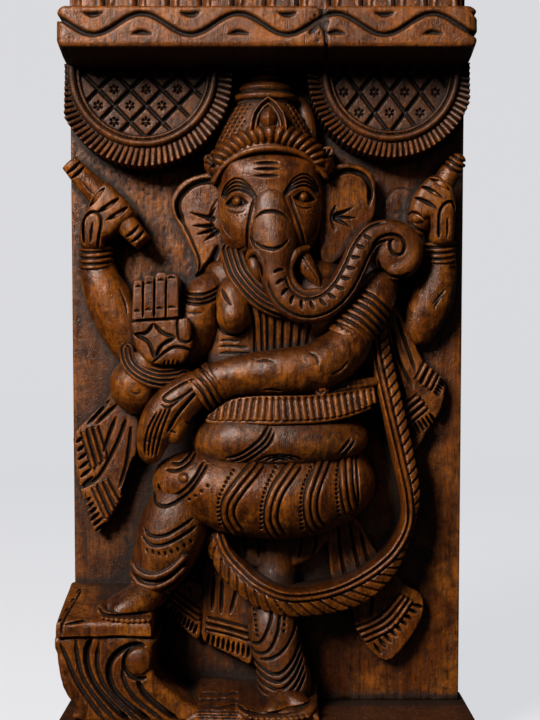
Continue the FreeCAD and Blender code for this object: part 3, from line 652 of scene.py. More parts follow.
def carve_left_ear():
    left = Carving((-80, 348, -1), (-28, 444, 30), 0.7)
    x = left.x
    outline = [(-33, 438), (-44, 438.5), (-56, 436), (-67, 429.5), (-73.5, 417), (-69.5, 403), (-60, 386),
               (-53, 368), (-59, 353.5), (-50, 358), (-41, 368), (-33, 380)]
    top = 17 + 0.16 * (x + 75) + 1.2 * np.sin((x + 70) / 9)
    left.slab(outline, top, 2.5)
    left.groove([(-35, 431), (-47, 432), (-57.5, 428.5), (-66, 420), (-67.5, 411), (-63, 400)], 5.2, 3.6, 6)
    left.groove([(-64, 402), (-57, 388), (-51, 372), (-52, 362)], 2.4, 1.6, 5)
    left.gouge([(-57, 357), (-48, 360.5), (-40, 369), (-35.5, 380), (-38.5, 384), (-45, 373), (-52, 365)],
               3.4, 1.6, 4)
    for tip, foot in (((-59, 408.6), (-41, 403.6)), ((-38.6, 413), (-44, 404)),
                      ((-56.5, 398.6), (-41.5, 398)), ((-54, 391.4), (-40, 395.6)),
                      ((-48, 386.6), (-38, 393.6))):
        left.groove([tip, foot], 4.6, 3.4, form="dart")
    left.groove([(-36, 420), (-42, 410), (-41, 398), (-37, 388)], 2.2, 1.4, form="lens")
    keep("left_ear", left.finish(0.16, 55))


def carve_right_ear():
    right = Carving((36, 364, -1), (90, 450, 30), 0.7)
    x = right.x
    outline = [(38, 440), (48, 443), (60, 446), (72, 443.5), (81, 436.5), (82.5, 425), (81.5, 408),
               (76, 398), (67, 386), (50, 370), (40, 378)]
    top = 24 - 0.13 * (x - 40)
    right.slab(outline, top, 2.5)
    right.groove([(42, 430), (52, 437.5), (63, 440), (73.5, 436), (78, 426), (77, 414)], 5.0, 3.4, 6)
    for dx, dz in ((15.5, 7.6), (17.5, -0.5), (14.5, -8.2)):
        right.groove([(50 + dx, 405 + dz), (51, 405 + dz * 0.12)], 5.0, 3.6, form="dart")
    right.groove([(52, 414), (48.5, 405), (51, 394.5)], 2.6, 1.8, 3)
    keep("right_ear", right.finish(0.2, 56))


# The body


def carve_chest():
    chest = Carving((-58, 268, -1), (78, 374, 62), 0.75)
    x, z = chest.x, chest.z
    outline = [(-40, 372), (-48, 352), (-50, 330), (-54, 300), (-50, 272), (0, 268), (60, 270), (76, 300),
               (76, 340), (62, 366), (20, 374)]
    top = 38 - 0.0035 * (x - 6) ** 2 + 3.5 * bump(x, z, (-2, 345), 30, 18)
    top = top - 4 * bump(x, z, (10, 305), 40, 14)
    chest.slab(outline, top, 14)
    chest.egg((-24.5, 338, 34), (13.5, 21, 15), -6, 3)
    chest.egg((-25, 330, 36), (12.8, 13.5, 15.5), 0, 4)
    chest.egg((38, 338, 32), (18, 22, 14), 10, 4)
    chest.groove([(-33.8, 351), (-31, 344), (-26, 337)], 3.4, 1.8, form="lens")
    chest.groove([(-38.5, 340), (-38.2, 327), (-32, 317.5), (-20, 316.5), (-12.5, 323)], 2.4, 1.7, 4)
    for i, foot in enumerate((-9, -3.5, 0.5, 6, 11.5, 18, 24, 30)):
        lean = 3.2 - 1.1 * i
        chest.groove([(foot - lean - 2, 343), (foot - lean * 0.4, 328), (foot, 308), (foot + 0.6, 296)],
                     2.8, 2.0, 5)
    for row, reach in ((306.5, 11), (301.5, 13), (311, 8)):
        chest.groove([(-36, row), (-30, row + 1), (-36 + 2 * reach, row)], 2.0, 1.3, 4)
    keep("chest", chest.finish(0.16, 61))


def carve_necklace():
    necklace = Carving((-46, 318, -1), (48, 386, 62), 0.7)
    rope = [(-27, 380, 22, 8), (-25, 373, 30, 9), (-21, 362, 37, 9), (-13, 351, 41, 8.6),
            (-3, 341.8, 42.5, 8.2), (8, 336.4, 42.5, 7.2), (20, 333, 41, 6)]
    necklace.limb(rope, 1.5)
    line = smooth([p[:2] for p in rope], 8)
    _, aside = along(necklace.x, necklace.z, line)
    for offset in (-5.6, -2.0, 1.7, 5.4):
        necklace.depth = np.maximum(necklace.depth, 2.3 * v_cut(aside, offset, 1.35))
    keep("necklace", necklace.finish(0.12, 62))


def carve_belly():
    belly = Carving((-60, 210, -1), (84, 280, 70), 0.75)
    belly.egg((10, 239.5, 24), (66, 26.5, 38), 0, 3)
    belly.egg((-22, 238, 30), (32, 20, 31), -14, 10)
    belly.egg((14, 234, 34), (58, 15.5, 29), 0, 8)
    lines = [[(1.8, 250), (-5.3, 239), (-18.4, 229), (-30.5, 225)],
             [(4, 248), (-2, 237), (-16, 226.5), (-26, 222.5)],
             [(5.8, 245), (0.7, 235), (-13.4, 224), (-20.4, 221)], [(52, 228), (58, 235), (62, 240)],
             [(55, 226), (61, 233), (65, 238)]]
    for line in lines:
        belly.groove(line, 2.7, 2.0, 6)
    for wide, tall in ((16, 5.4), (11, 3.8), (6, 2.2)):
        ring = [(9.8 + wide * math.cos(a), 222.5 + tall * math.sin(a)) for a in np.linspace(0.1, 3.04, 9)]
        belly.groove(ring, 2.2, 1.6, 3)
    keep("belly", belly.finish(0.2, 63))


def carve_belly_sash():
    sash = Carving((-56, 244, -1), (88, 286, 70), 0.7)
    x, z = sash.x, sash.z
    upper = smooth([(-44, 256), (-37.6, 261), (-28.5, 267), (-13.4, 270.4), (10, 271), (35, 271.6),
                    (57, 274), (80, 277)], 6)
    lower = smooth([(-44, 254), (-40, 252.5), (-20, 252.6), (2.8, 252.6), (26, 253), (49, 255), (66, 259),
                    (82, 265)], 6)
    edge = outline_distance(x, z, np.vstack([lower, upper[::-1]]))
    down = np.interp(x, lower[:, 0], lower[:, 1])
    share = np.clip((z - down) / 15, 0, 1)
    front = 63.5 - 0.0052 * (x - 10) ** 2 - 3.4 * share**1.5
    off = x - 7
    phase = (off + 0.16 * (z - 262) * np.tanh(off / 12)) / 5.0
    pleat = np.abs(np.cos(math.pi * phase))
    body = np.clip((-edge - 0.6) / 1.0, 0, 1)
    sash.block(edge + 0.9 * (1 - pleat) * (z < down + 2.5), front - 2.7 * (1 - pleat**0.6) * body, 1.6)
    rim = [(px, pz - 1.2, 60.5 - 0.0052 * (px - 10) ** 2, 1.5) for px, pz in lower[::4]]
    sash.limb(rim, 0.3, steps=2)
    sash.limb([(44, 272.5, 47, 2.2), (60, 276.5, 43, 2.2), (82, 280.5, 34, 2.2)], 1)
    sash.limb([(44, 277, 46, 2.0), (60, 280, 42, 2.0), (80, 282.5, 34, 2.0)], 1)
    sash.egg((40, 275, 49), (6.4, 6.0, 7), 0, 1)
    curl = [(40 + (4.6 - 0.32 * i) * math.cos(0.55 * i),
             275 + (4.4 - 0.3 * i) * math.sin(0.55 * i)) for i in range(12)]
    sash.groove(curl, 1.7, 1.4, 1, 3)
    keep("belly_sash", sash.finish(0.12, 64))


# The arms


def bracelet(carving, start, end, radius, rings, depth=1.3, width=1.5):
    """Cuts rings across a limb whose axis runs from start to end, (x, z); the rings bow towards the hand."""
    a, b = np.array(start, float), np.array(end, float)
    ahead = heading(a, b)
    across = beside(ahead)
    for i in range(rings + 1):
        at = a + (b - a) * i / rings
        path = [at + across * radius * 1.15 - ahead * 2.2, at + across * radius * 0.6 - ahead * 0.5,
                at + ahead * 0.5, at - across * radius * 0.6 - ahead * 0.5,
                at - across * radius * 1.15 - ahead * 2.2]
        carving.groove(path, width, depth, 0)


def carve_lowered_bangles():
    bangles = Carving((-60, 256, -1), (-28, 304, 66), 0.65)
    bangles.limb([(-49, 273.5, 45, 15.7), (-37.5, 281.5, 46.5, 15.7)], 1, 1.05)
    bangles.field = np.maximum(bangles.field, bangle_slice(bangles, (-51.5, 271.8), (-36, 282.6)))
    bracelet(bangles, (-48, 274.3), (-39.5, 280.2), 15.5, 2, 2.4, 2.8)
    keep("lowered_bangles", bangles.finish(0.06, 71))


def carve_lowered_hand():
    hand = Carving((-100, 218, -1), (-38, 296, 62), 0.65)
    palm = [(-44, 278, 44, 12.5), (-55, 274, 45, 13.5), (-66, 266, 45.5, 15), (-76, 255, 45, 15),
            (-83, 243, 43, 12.5), (-86, 232, 41, 9.5), (-86, 226.5, 40, 6)]
    hand.limb(palm, 2, 0.95)
    thumb = [(-52, 276, 46, 9), (-60, 266, 48, 8), (-64, 254, 48.5, 7.2), (-67.5, 244, 48, 6.2),
             (-69, 239.5, 47, 4.6)]
    hand.limb(thumb, 1.2)
    for i in range(4):
        a = -5.6 + 4.2 * i
        finger = [(-75 + a * 0.9, 262 + a * 0.5), (-82 + a * 0.9, 247 + a * 0.15), (-85.5 + a * 0.75, 233),
                  (-86 + a * 0.6, 226)]
        hand.groove(finger, 2.0, 1.9, 5)
    hand.groove([(-53, 283.5), (-66, 277), (-75.5, 269.5), (-70, 266.5), (-60, 271.5), (-50, 279)], 2.0,
                1.6, 3)
    hand.groove([(-52, 278), (-62, 269.5), (-71, 262.5), (-77.5, 264.5)], 2.0, 1.6, 4)
    hand.groove([(-50, 275), (-58, 266), (-66, 256), (-73, 244)], 3.0, 2.8, 5)
    for nick in ([(-66, 243.5), (-71.5, 245.5)], [(-60, 252.5), (-57, 250)], [(-84, 236), (-90, 238)]):
        hand.groove(nick, 1.6, 1.2, 1)
    keep("lowered_hand", hand.finish(0.12, 72))


def carve_lowered_forearm():
    forearm = Carving((-46, 262, -1), (78, 330, 68))
    forearm.limb([(-42, 280, 46, 12.8), (-26, 284.5, 48, 14), (-6, 287.5, 49.5, 15), (14, 289, 49.5, 16.2),
                  (32, 290.5, 47, 17.2), (46, 296, 43, 18), (57, 305, 38, 17), (64, 315, 35, 15)], 2)
    forearm.groove([(-8, 296), (-1, 297), (6, 295.5)], 1.8, 1.2, form="lens")
    forearm.groove([(-4.5, 275), (4, 275.6), (12.8, 274.3)], 2.0, 1.4, form="lens")
    forearm.groove([(30, 303), (36, 299), (37, 292)], 2.0, 1.3, form="lens")
    forearm.groove([(46, 286), (54, 290), (60, 297)], 1.8, 1.0, form="lens")
    keep("lowered_forearm", forearm.finish(0.3, 73))


def carve_lowered_upper_arm():
    upper = Carving((46, 296, -1), (98, 368, 60), 0.7)
    upper.limb([(54, 305, 37, 16), (63, 317, 35, 16.5), (71, 329, 32, 16.5), (79, 341, 28, 15.5),
                (85, 353, 24, 13)], 2)
    bracelet(upper, (54, 306), (58, 311.5), 16.5, 1, 2.0, 2.4)
    bracelet(upper, (62, 318), (79.5, 343), 16.5, 6, 2.2, 2.9)
    for i in range(7):
        upper.groove([(47 + 3.7 * i, 324.5 - 2.7 * i), (50 + 3.7 * i, 328 - 2.7 * i)], 2.0, 1.8,
                     form="lens")
    keep("lowered_upper_arm", upper.finish(0.12, 74))


def bangle_slice(carving, start, end):
    """A field that is negative between two planes across an axis, so a limb can be cut to a length."""
    a, b = np.array(start, float), np.array(end, float)
    ahead = heading(a, b)
    at = (carving.x - a[0]) * ahead[0] + (carving.z - a[1]) * ahead[1]
    return np.maximum(-at, at - np.hypot(*(b - a)))[:, None, :].astype(np.float32)


def carve_blessing_hand():
    hand = Carving((-104, 286, -1), (-48, 366, 60), 0.6)
    x, z = hand.x, hand.z
    palm = [(-98.6, 328), (-98.4, 312.7), (-94.6, 303), (-87, 295.5), (-76, 293.4), (-62, 295),
            (-55.5, 304), (-54.4, 316), (-57, 329), (-64.7, 329), (-82, 328)]
    hand.slab(palm, 53 + 2.0 * bump(x, z, (-67, 301), 9, 6) + 1.6 * bump(x, z, (-60, 319), 5, 10), 4)
    hand.egg((-78, 312, 38), (20, 18, 14), 0, 4)
    # Four fingers side by side, flat in front
    edges = (-99, -91.3, -83, -74.4, -65)
    for i, (tip_x, tip_z) in enumerate(((-94.2, 356), (-86.2, 359.4), (-77.6, 361.4), (-70, 360))):
        foot = (edges[i] + edges[i + 1]) / 2
        half = (edges[i + 1] - edges[i]) / 2
        side = np.abs(x - foot - (tip_x - foot) * np.clip((z - 325) / 32, 0, 1)) - half - 0.2
        round_tip = np.cbrt(np.abs(x - tip_x) ** 3 + np.abs(z - tip_z + half) ** 3) - half - 0.1
        bar = np.where(z > tip_z - half, round_tip, side)
        hand.block(np.maximum(bar, 320 - z), 51.5 - 0.05 * np.clip(z - 340, 0, 30), 1.2)
        knuckle, joint = 333.4 + 0.9 * i, 350.6 + 2.4 * i - 0.6 * (i == 3)
        hand.gouge(crescent(foot, knuckle - 1.2, half - 0.9, 0.2, 2.4), 1.8, 2.2, 1)
        hand.gouge(crescent(tip_x, joint - 0.6, half - 1.0, 0.2, 2.4), 1.6, 2.2, 1)
    for at in edges[1:4]:
        hand.groove([(at, 328), (at + 0.2, 342), (at + 0.5, 357)], 1.5, 2.4, 2)
    hand.groove([(-99, 325.4), (-88, 326.4), (-76, 327), (-64.7, 328), (-57, 330)], 2.4, 2.4, 0)
    # Thumb pad and heel of the palm
    pad = [(-65.7, 325), (-63.8, 328.6), (-58, 329.2), (-55, 322), (-55.5, 312.7), (-59, 310.2),
           (-64.2, 312.2), (-65.6, 319)]
    hand.groove(pad, 2.2, 1.9, 0, closed=True)
    hand.groove([(-84, 295), (-77, 301), (-68.6, 306.4), (-59, 305.4), (-55, 303)], 2.6, 2.1, 4)
    for i in range(4):
        hand.groove([(-76 + 3.2 * i, 292.5), (-74.4 + 3.2 * i, 297.5)], 1.8, 1.4, form="lens")
    # A four-pointed star in the palm
    star = [(-83, 324), (-97.5, 316), (-82, 297.5), (-66.7, 313.6)]
    inner = [(-88.6, 317), (-87, 310), (-77.0, 307.6), (-76.4, 317)]
    for i in range(4):
        hand.groove([star[i], inner[i], star[(i + 1) % 4]], 3.2, 2.4, 4)
    keep("blessing_hand", hand.finish(0.12, 75))


def carve_blessing_bangles():
    bangles = Carving((-116, 268, -1), (-56, 312, 62), 0.7)
    rope = [(-104, 305, 30, 6.5), (-101.5, 297, 37, 7.4), (-97, 291, 41, 7.8), (-89, 286, 43.5, 8),
            (-78, 283, 44, 8), (-66, 284, 41, 7.4), (-61, 286, 36, 7)]
    bangles.limb(rope, 1)
    _, aside = along(bangles.x, bangles.z, smooth([p[:2] for p in rope], 8))
    for offset in (-4.4, -1.0, 2.4, 5.4):
        bangles.depth = np.maximum(bangles.depth, 2.4 * v_cut(aside, offset, 1.2))
    keep("blessing_bangles", bangles.finish(0.08, 76))


def carve_blessing_forearm():
    forearm = Carving((-126, 246, -1), (-74, 302, 52))
    forearm.egg((-99.5, 277, 24), (18.5, 21.5, 21), -24, 3)
    forearm.limb([(-99, 277, 26, 16), (-93, 286, 30, 14), (-88, 296, 33, 13)], 4)
    forearm.groove([(-101, 274), (-97, 272), (-93, 272.5)], 1.6, 1.0, form="lens")
    keep("blessing_forearm", forearm.finish(0.3, 77))


def carve_blessing_upper_arm():
    upper = Carving((-80, 288, -1), (-22, 374, 50))
    upper.limb([(-36, 358, 21, 8.5), (-45, 348, 25, 13), (-52, 336, 27.5, 15), (-54, 321, 27, 15.5),
                (-60, 306, 24, 14), (-68, 297, 20, 12)], 2)
    for offset in (0, 3.6, 7.0):
        ring = [(-68, 352 - offset), (-59, 346.6 - offset), (-48, 345.6 - offset), (-38, 350 - offset),
                (-33, 356 - offset)]
        upper.groove(ring, 2.6, 2.1, 2)
    upper.groove([(-62, 333), (-54, 331.6), (-46, 332.6)], 1.8, 1.0, form="lens")
    keep("blessing_upper_arm", upper.finish(0.26, 78))


def carve_rear_forearms():
    left = Carving((-152, 294, -1), (-88, 392, 36))
    left.limb([(-130, 376, 14, 10.5), (-127.5, 360, 14, 13.5), (-120, 342, 13, 16.8), (-110, 322, 11, 17),
               (-101, 306, 9, 15)], 2, 0.9)
    left.groove([(-112, 352), (-107, 340), (-105, 330)], 2.0, 1.2, form="lens")
    keep("left_rear_forearm", left.finish(0.3, 81))
    right = Carving((94, 294, -1), (150, 392, 36))
    right.limb([(132.5, 378, 14, 10.5), (130.5, 362, 14, 12.6), (127, 346, 12, 15), (121, 332, 10, 14.5),
                (115, 320, 8, 12.5)], 2, 0.9)
    right.groove([(134.4, 350.4), (129, 344), (124.7, 339)], 2.2, 1.5, form="lens")
    right.groove([(132.6, 346), (128, 340), (125.5, 334.5)], 2.0, 1.3, form="lens")
    keep("right_rear_forearm", right.finish(0.3, 81))


def carve_rear_bangles():
    for word, path, start, end in (("left", [(-129.5, 386, 15, 13.4), (-130, 362, 15, 13.4)], (-130, 364),
                                    (-129.6, 383)),
                                   ("right", [(131.5, 390, 15, 12.2), (131, 366, 15, 12.6)], (131, 368),
                                    (131.4, 387))):
        low_x, high_x = path[0][0] - 18, path[0][0] + 18
        cuff = Carving((max(low_x, -152), 356, -1), (min(high_x, 152), 396, 34), 0.7)
        cuff.limb(path, 1)
        cuff.field = np.maximum(cuff.field, bangle_slice(cuff, start, end))
        for i in range(5):
            z = start[1] + 0.6 + 4.4 * i
            cuff.groove([(path[0][0] + dx, z + 0.011 * dx * dx + 0.06 * dx) for dx in (-15, -8, 0, 8, 15)],
                        2.3, 1.9, 0)
        keep(f"{word}_rear_bangles", cuff.finish(0.06, 82))


def carve_rear_hands():
    hand = Carving((-144, 376, -1), (-96, 436, 44), 0.62)
    x, z = hand.x, hand.z
    fist = [(-139.7, 382), (-140, 400.5), (-135.5, 409), (-132.6, 417), (-128, 426), (-120, 430.6),
            (-108.7, 420), (-99.8, 410), (-100.7, 405), (-108.7, 397.7), (-115, 391.5), (-122, 387),
            (-123.7, 381)]
    hand.slab(fist, 35 - 0.02 * (x + 120) ** 2 * 0.3 - 0.004 * (z - 404) ** 2, 6, 0, 4)
    for slot in ([(-133, 411.5), (-126, 420.5), (-121, 426)],
                 [(-127.5, 406.5), (-118, 412.5), (-110, 418.6)],
                 [(-120, 401.4), (-111, 406.5), (-103.6, 412)]):
        hand.groove(slot, 4.0, 3.6, form="lens")
    thumb = [(-137, 384), (-137.4, 400.5), (-132.6, 407), (-126.4, 406.7), (-123.7, 400.5), (-125.5, 390),
             (-127, 381)]
    hand.groove(thumb, 2.6, 2.2, 3)
    hand.groove([(-130, 400.5), (-131.4, 392), (-132, 383.6)], 2.4, 1.9, form="lens")
    keep("left_rear_hand", hand.finish(0.12, 83))
    hand = Carving((104, 380, -1), (146, 440, 44), 0.62)
    x, z = hand.x, hand.z
    fist = [(122, 434.5), (129, 435.4), (138, 429), (141.5, 420), (141.5, 408), (140.6, 390), (138, 384),
            (123.8, 385), (123, 399), (121, 404), (113, 399), (107.4, 402.7), (109.6, 418.6), (115, 427.5)]
    hand.slab(fist, 35 - 0.006 * (x - 126) ** 2 - 0.004 * (z - 410) ** 2, 6, 0, 4)
    for slot in ([(121, 433.4), (130, 429), (138, 423)], [(114, 428), (123, 423.4), (131.7, 417.7)],
                 [(110, 419), (119, 415), (127.3, 409.7)], [(106, 408.6), (112, 406), (117.5, 402)]):
        hand.groove(slot, 3.6, 3.2, form="lens")
    hand.groove([(128.4, 388), (128.6, 406), (132.6, 413.6), (138, 415), (140.6, 409)], 2.6, 2.2, 3)
    hand.groove([(134.6, 404), (134.8, 396), (134.4, 388)], 2.2, 1.7, form="lens")
    keep("right_rear_hand", hand.finish(0.12, 83))


def carve_rear_clubs():
    left = Carving((-153.5, 374, -1), (-82, 456, 40), 0.7)
    x, z = left.x, left.z
    start, end = np.array((-149, 445.6)), np.array((-94, 386))
    ahead = heading(start, end)
    travelled = (x - start[0]) * ahead[0] + (z - start[1]) * ahead[1]
    aside = (x - start[0]) * ahead[1] - (z - start[1]) * ahead[0]
    size = float(np.hypot(*(end - start)))
    half = 6.7 + 2.8 * np.sin(math.pi * np.clip(travelled / size, 0, 1))
    bar = np.maximum(np.abs(aside) - half, np.maximum(-travelled, travelled - size))
    left.block(bar, 32 - 0.05 * aside**2, 3)
    for at in (5.5, 10.5, size - 10.5, size - 5):
        middle = start + ahead * at
        across = beside(ahead) * 7.4
        left.groove([middle - across, middle + ahead * 1.2, middle + across], 3.0, 2.4, form="lens")
    left.groove([(-138, 430), (-133, 424), (-129, 420)], 1.8, 1.0, form="lens")
    keep("left_rear_club", left.finish(0.14, 84))
    right = Carving((88, 378, -1), (153.5, 456, 40), 0.7)
    right.limb([(143.6, 446.5, 22, 6.6), (138, 438, 23, 8), (130, 425, 23, 8), (120, 410, 22, 8),
                (112, 397, 21, 8.2), (103, 385, 20, 8)], 1)
    for at, to in (((144.5, 448), (139.5, 440)), ((111, 397), (105, 388.5))):
        bracelet(right, at, to, 8.5, 2, 2.0, 2.6)
    keep("right_rear_club", right.finish(0.14, 85))


# The legs and what hangs about them


def drapery(carving, line, dots):
    """A cloth band across a limb, two raised cords with a cut between, and a row of drilled dots."""
    path = smooth(line, 8)
    here = carving.flat_window(path, 10)
    travelled, aside = along(carving.x[here], carving.z[here], path)
    ends = np.clip(np.minimum(travelled, path_length(path) - travelled) / 3, 0, 1)
    for offset in (-2.3, 2.3):
        carving.lift[here] = np.maximum(carving.lift[here], 1.9 * rounded(aside, offset, 2.1) * ends)
    for offset, depth in ((0, 1.7), (-4.9, 1.6), (4.9, 1.6)):
        carving.depth[here] = np.maximum(carving.depth[here], depth * v_cut(aside, offset, 1.1) * ends)
    column = smooth(dots, 8)
    arc = np.concatenate([[0], np.cumsum(np.hypot(*np.diff(column, axis=0).T))])
    for at in np.arange(1.5, arc[-1], 3.3):
        carving.dot(np.interp(at, arc, column[:, 0]), np.interp(at, arc, column[:, 1]), 1.2, 1.7)


# Arcs about the kneecap, which run on from the thigh into the shin
KNEE_ARCS = ([(-84, 200), (-81.3, 191.6), (-72, 190.4), (-56, 201), (-43, 221)],
             [(-81, 206), (-76.5, 197.4), (-66, 198.4), (-54, 209), (-46, 223)],
             [(-75, 216), (-66, 215.6), (-57, 221), (-52, 229)],
             [(-71, 221), (-64, 220.6), (-58.5, 225), (-55, 231)])


def carve_thigh():
    thigh = Carving((-88, 158, -1), (88, 242, 68), 0.75)
    thigh.limb([(-67, 206, 29, 18.5), (-56, 206, 32, 21), (-44, 203, 33.5, 25), (-26, 198, 34, 28.5),
                (-4, 196, 34, 30), (18, 196, 34, 30), (38, 199, 32, 28.5), (52, 202, 28, 25),
                (60, 205, 24, 20)], 4)
    thigh.egg((60, 209, 22), (14, 24, 24), 8, 8)
    drapery(thigh, [(-5, 224), (-11, 216), (-20, 205), (-27.5, 193), (-28.5, 183.5), (-25, 175),
                    (-20.4, 168)],
            [(-23.5, 218), (-32.5, 203), (-35.4, 190), (-34, 176)])
    drapery(thigh, [(22, 223), (16, 214.7), (8, 203), (3.8, 191.5), (3, 180), (6, 172), (9.8, 166)],
            [(7, 220), (0, 206), (-4, 191.5), (-4, 172)])
    drapery(thigh, [(43, 228), (40, 219.8), (35, 208), (32, 197.6), (32, 186), (35, 177), (40, 171)],
            [(33, 220), (26, 204), (24.4, 190), (26, 172)])
    drapery(thigh, [(58, 232), (58, 224.8), (58, 214), (58.4, 205.6), (60, 194), (63, 184)],
            [(53, 224), (51, 212), (50.6, 200), (53, 182)])
    thigh.groove([(66, 230), (66.4, 213), (67.5, 190)], 2.2, 1.6, 4)
    for arc in KNEE_ARCS:
        thigh.groove(arc, 2.8, 2.2, 4)
    thigh.dot(-61, 211, 3.4, -1.6)
    for i in range(8):
        thigh.dot(-75 + 4.6 * i, 190.2 + 0.75 * i * i * 0.42, 1.2, 1.6)
    keep("thigh", thigh.finish(0.18, 91))


def carve_bent_shin():
    shin = Carving((-110, 112, -1), (-34, 214, 66), 0.75)
    shin.limb([(-63, 193, 29, 16), (-66, 186, 31, 20.5), (-68, 178, 32, 23), (-72, 166, 32, 23.5),
               (-77, 152, 31.5, 21.5), (-82, 141, 31, 18), (-86, 131, 30.5, 14.5), (-89, 122, 30, 12)], 3)
    shin.groove(KNEE_ARCS[0], 2.8, 2.2, 4)
    shin.groove([(-90.6, 174), (-85.4, 168.4), (-75, 168.7), (-64.6, 174), (-54, 181)], 2.8, 2.1, 4)
    shin.groove([(-92, 167.6), (-84, 161.4), (-73, 162.8), (-61, 168.9), (-52, 175)], 2.8, 2.1, 4)
    for i in range(8):
        x = -88 + 4.6 * i
        z = 157.4 - 2.4 * math.sin(math.pi * min(i / 4, 1) * 0.6) + 0.36 * max(i - 2, 0) ** 2
        shin.groove([(x - 0.7, z + 1.9), (x + 0.7, z - 1.9)], 2.2, 1.8, form="lens")
    for low in (0, 8.5):
        anklet = [(-102, 149 - low), (-95, 140.4 - low), (-82, 137.8 - low), (-69.8, 143 - low),
                  (-58, 154 - low)]
        shin.ridge(anklet, 5.4, 2.6, 3)
        shin.groove([(px, pz - 3.4) for px, pz in anklet], 2.4, 1.9, 3)
    for i in range(9):
        x = -99 + 4.4 * i
        z = 134 - 8 * math.sin((x + 103) / 46 * math.pi)
        shin.groove([(x - 1.2, z + 0.5), (x + 3.4, z - 6.5)], 3.0, 2.6, form="dart")
    keep("bent_shin", shin.finish(0.2, 92))


def carve_bent_foot():
    foot = Carving((-134, 98, -1), (-72, 138, 70), 0.65)
    foot.limb([(-88, 126, 34, 11.5), (-93, 120, 43, 10.5), (-100, 116, 50, 9), (-108, 113, 55, 6)], 3, 1.1)
    foot.limb([(-92, 121, 34, 10), (-104, 116.5, 42, 8.5), (-113, 114, 49, 6.5)], 4)
    foot.limb([(-120.5, 118, 52, 2.6), (-120.5, 112.6, 58, 3.4), (-112, 109.4, 63.4, 3.8),
               (-99, 108, 64.6, 3.8), (-86, 108.4, 64, 3.6)], 2)
    for i in range(10):
        foot.dot(-119.5 + 3.8 * i, 108.9 + 0.16 * abs(i - 6) ** 1.3, 2.0, -2.0)
    foot.groove([(-123, 117), (-117, 112.8), (-104, 112), (-88, 112.6)], 2.2, 1.8, 3)
    foot.groove([(-112, 130), (-121, 126), (-125.6, 118)], 2.0, 1.6, 3)
    keep("bent_foot", foot.finish(0.12, 93))


def carve_standing_leg():
    leg = Carving((-26, 42, -1), (44, 176, 62), 0.75)
    leg.limb([(10, 170, 5, 15), (8, 150, 5, 15), (6, 130, 7, 15.5), (4, 112, 19, 17.5), (4.5, 98, 28, 17.5),
              (7, 82, 30, 17), (10, 70, 30, 17.5), (12.5, 58, 30, 18.5), (13, 47, 30, 18.5)], 3)
    for i in range(5):
        drop = 5.6 * i
        anklet = [(-12 + i, 75 - drop), (-5, 70.5 - drop), (3 + i, 66.2 - drop), (10.5 + i, 67 - drop),
                  (18.5 + i, 75 - drop), (24.5 + i, 87 - drop)]
        leg.groove(anklet, 2.8, 2.4, 3)
    for leaf in ([(10, 112), (9.1, 104), (7.5, 94.9), (1.7, 83.3), (-6.6, 80), (-14, 84)],
                 [(4, 114), (3, 106), (0.5, 98), (-5, 88.3), (-13, 86.6)],
                 [(22, 108), (20, 96), (13, 84), (4, 77.5), (-6, 75.6)]):
        leg.groove(leaf, 2.6, 2.1, 4)
    for i in range(6):
        leg.dot(-9.6 + 0.5 * i, 111 - 3.6 * i, 1.2, 1.7)
        leg.dot(13.6 - 0.2 * i, 118 - 4.2 * i, 1.2, 1.7)
    leg.groove([(-8, 128), (-6, 118), (-9, 108)], 2.2, 1.5, form="lens")
    keep("standing_leg", leg.finish(0.2, 94))


def carve_standing_foot():
    step = Carving((-34, 32, -1), (44, 64, 71), 0.65)
    step.limb([(12, 46, 34, 12), (11, 43.5, 45, 9.5), (7, 41, 54, 6.5), (3, 39.5, 60, 4.6)], 3, 1.1)
    step.limb([(12, 45, 40, 11), (23, 42, 49, 7.5), (29, 40, 56, 4.8)], 4)
    step.limb([(-20, 42, 54, 3.6), (-13, 38.6, 61, 3.9), (-2, 37.4, 64.6, 3.9), (12, 37.6, 65.6, 3.9),
               (26, 39.4, 63, 3.9), (33, 44, 56, 3.8)], 2)
    for i in range(11):
        step.dot(-12 + 4.2 * i, 38 + 0.045 * (i - 4) ** 2, 2.0, -2.0)
    step.groove([(-22, 45), (-14, 41.6), (-2, 41.2), (10, 41.8), (22, 44), (32, 47.4)], 2.4, 1.9, 3)
    keep("standing_foot", step.finish(0.12, 95))


def carve_skirt_drape():
    hem = Carving((-52, 130, -1), (50, 176, 24))
    outline = [(-42, 176), (-40, 160), (-26, 144), (0, 138), (28, 143), (44, 158), (46, 176)]
    hem.slab(outline, 15 + 0.03 * (hem.x + 40), 4, 0, 3)
    for i in range(7):
        x = -30 + 11 * i
        hem.groove([(x - 2, 174), (x + 1, 160), (x + 4 - i, 146)], 2.8, 2.0, 5)
    keep("skirt_drape", hem.finish(0.14, 96))


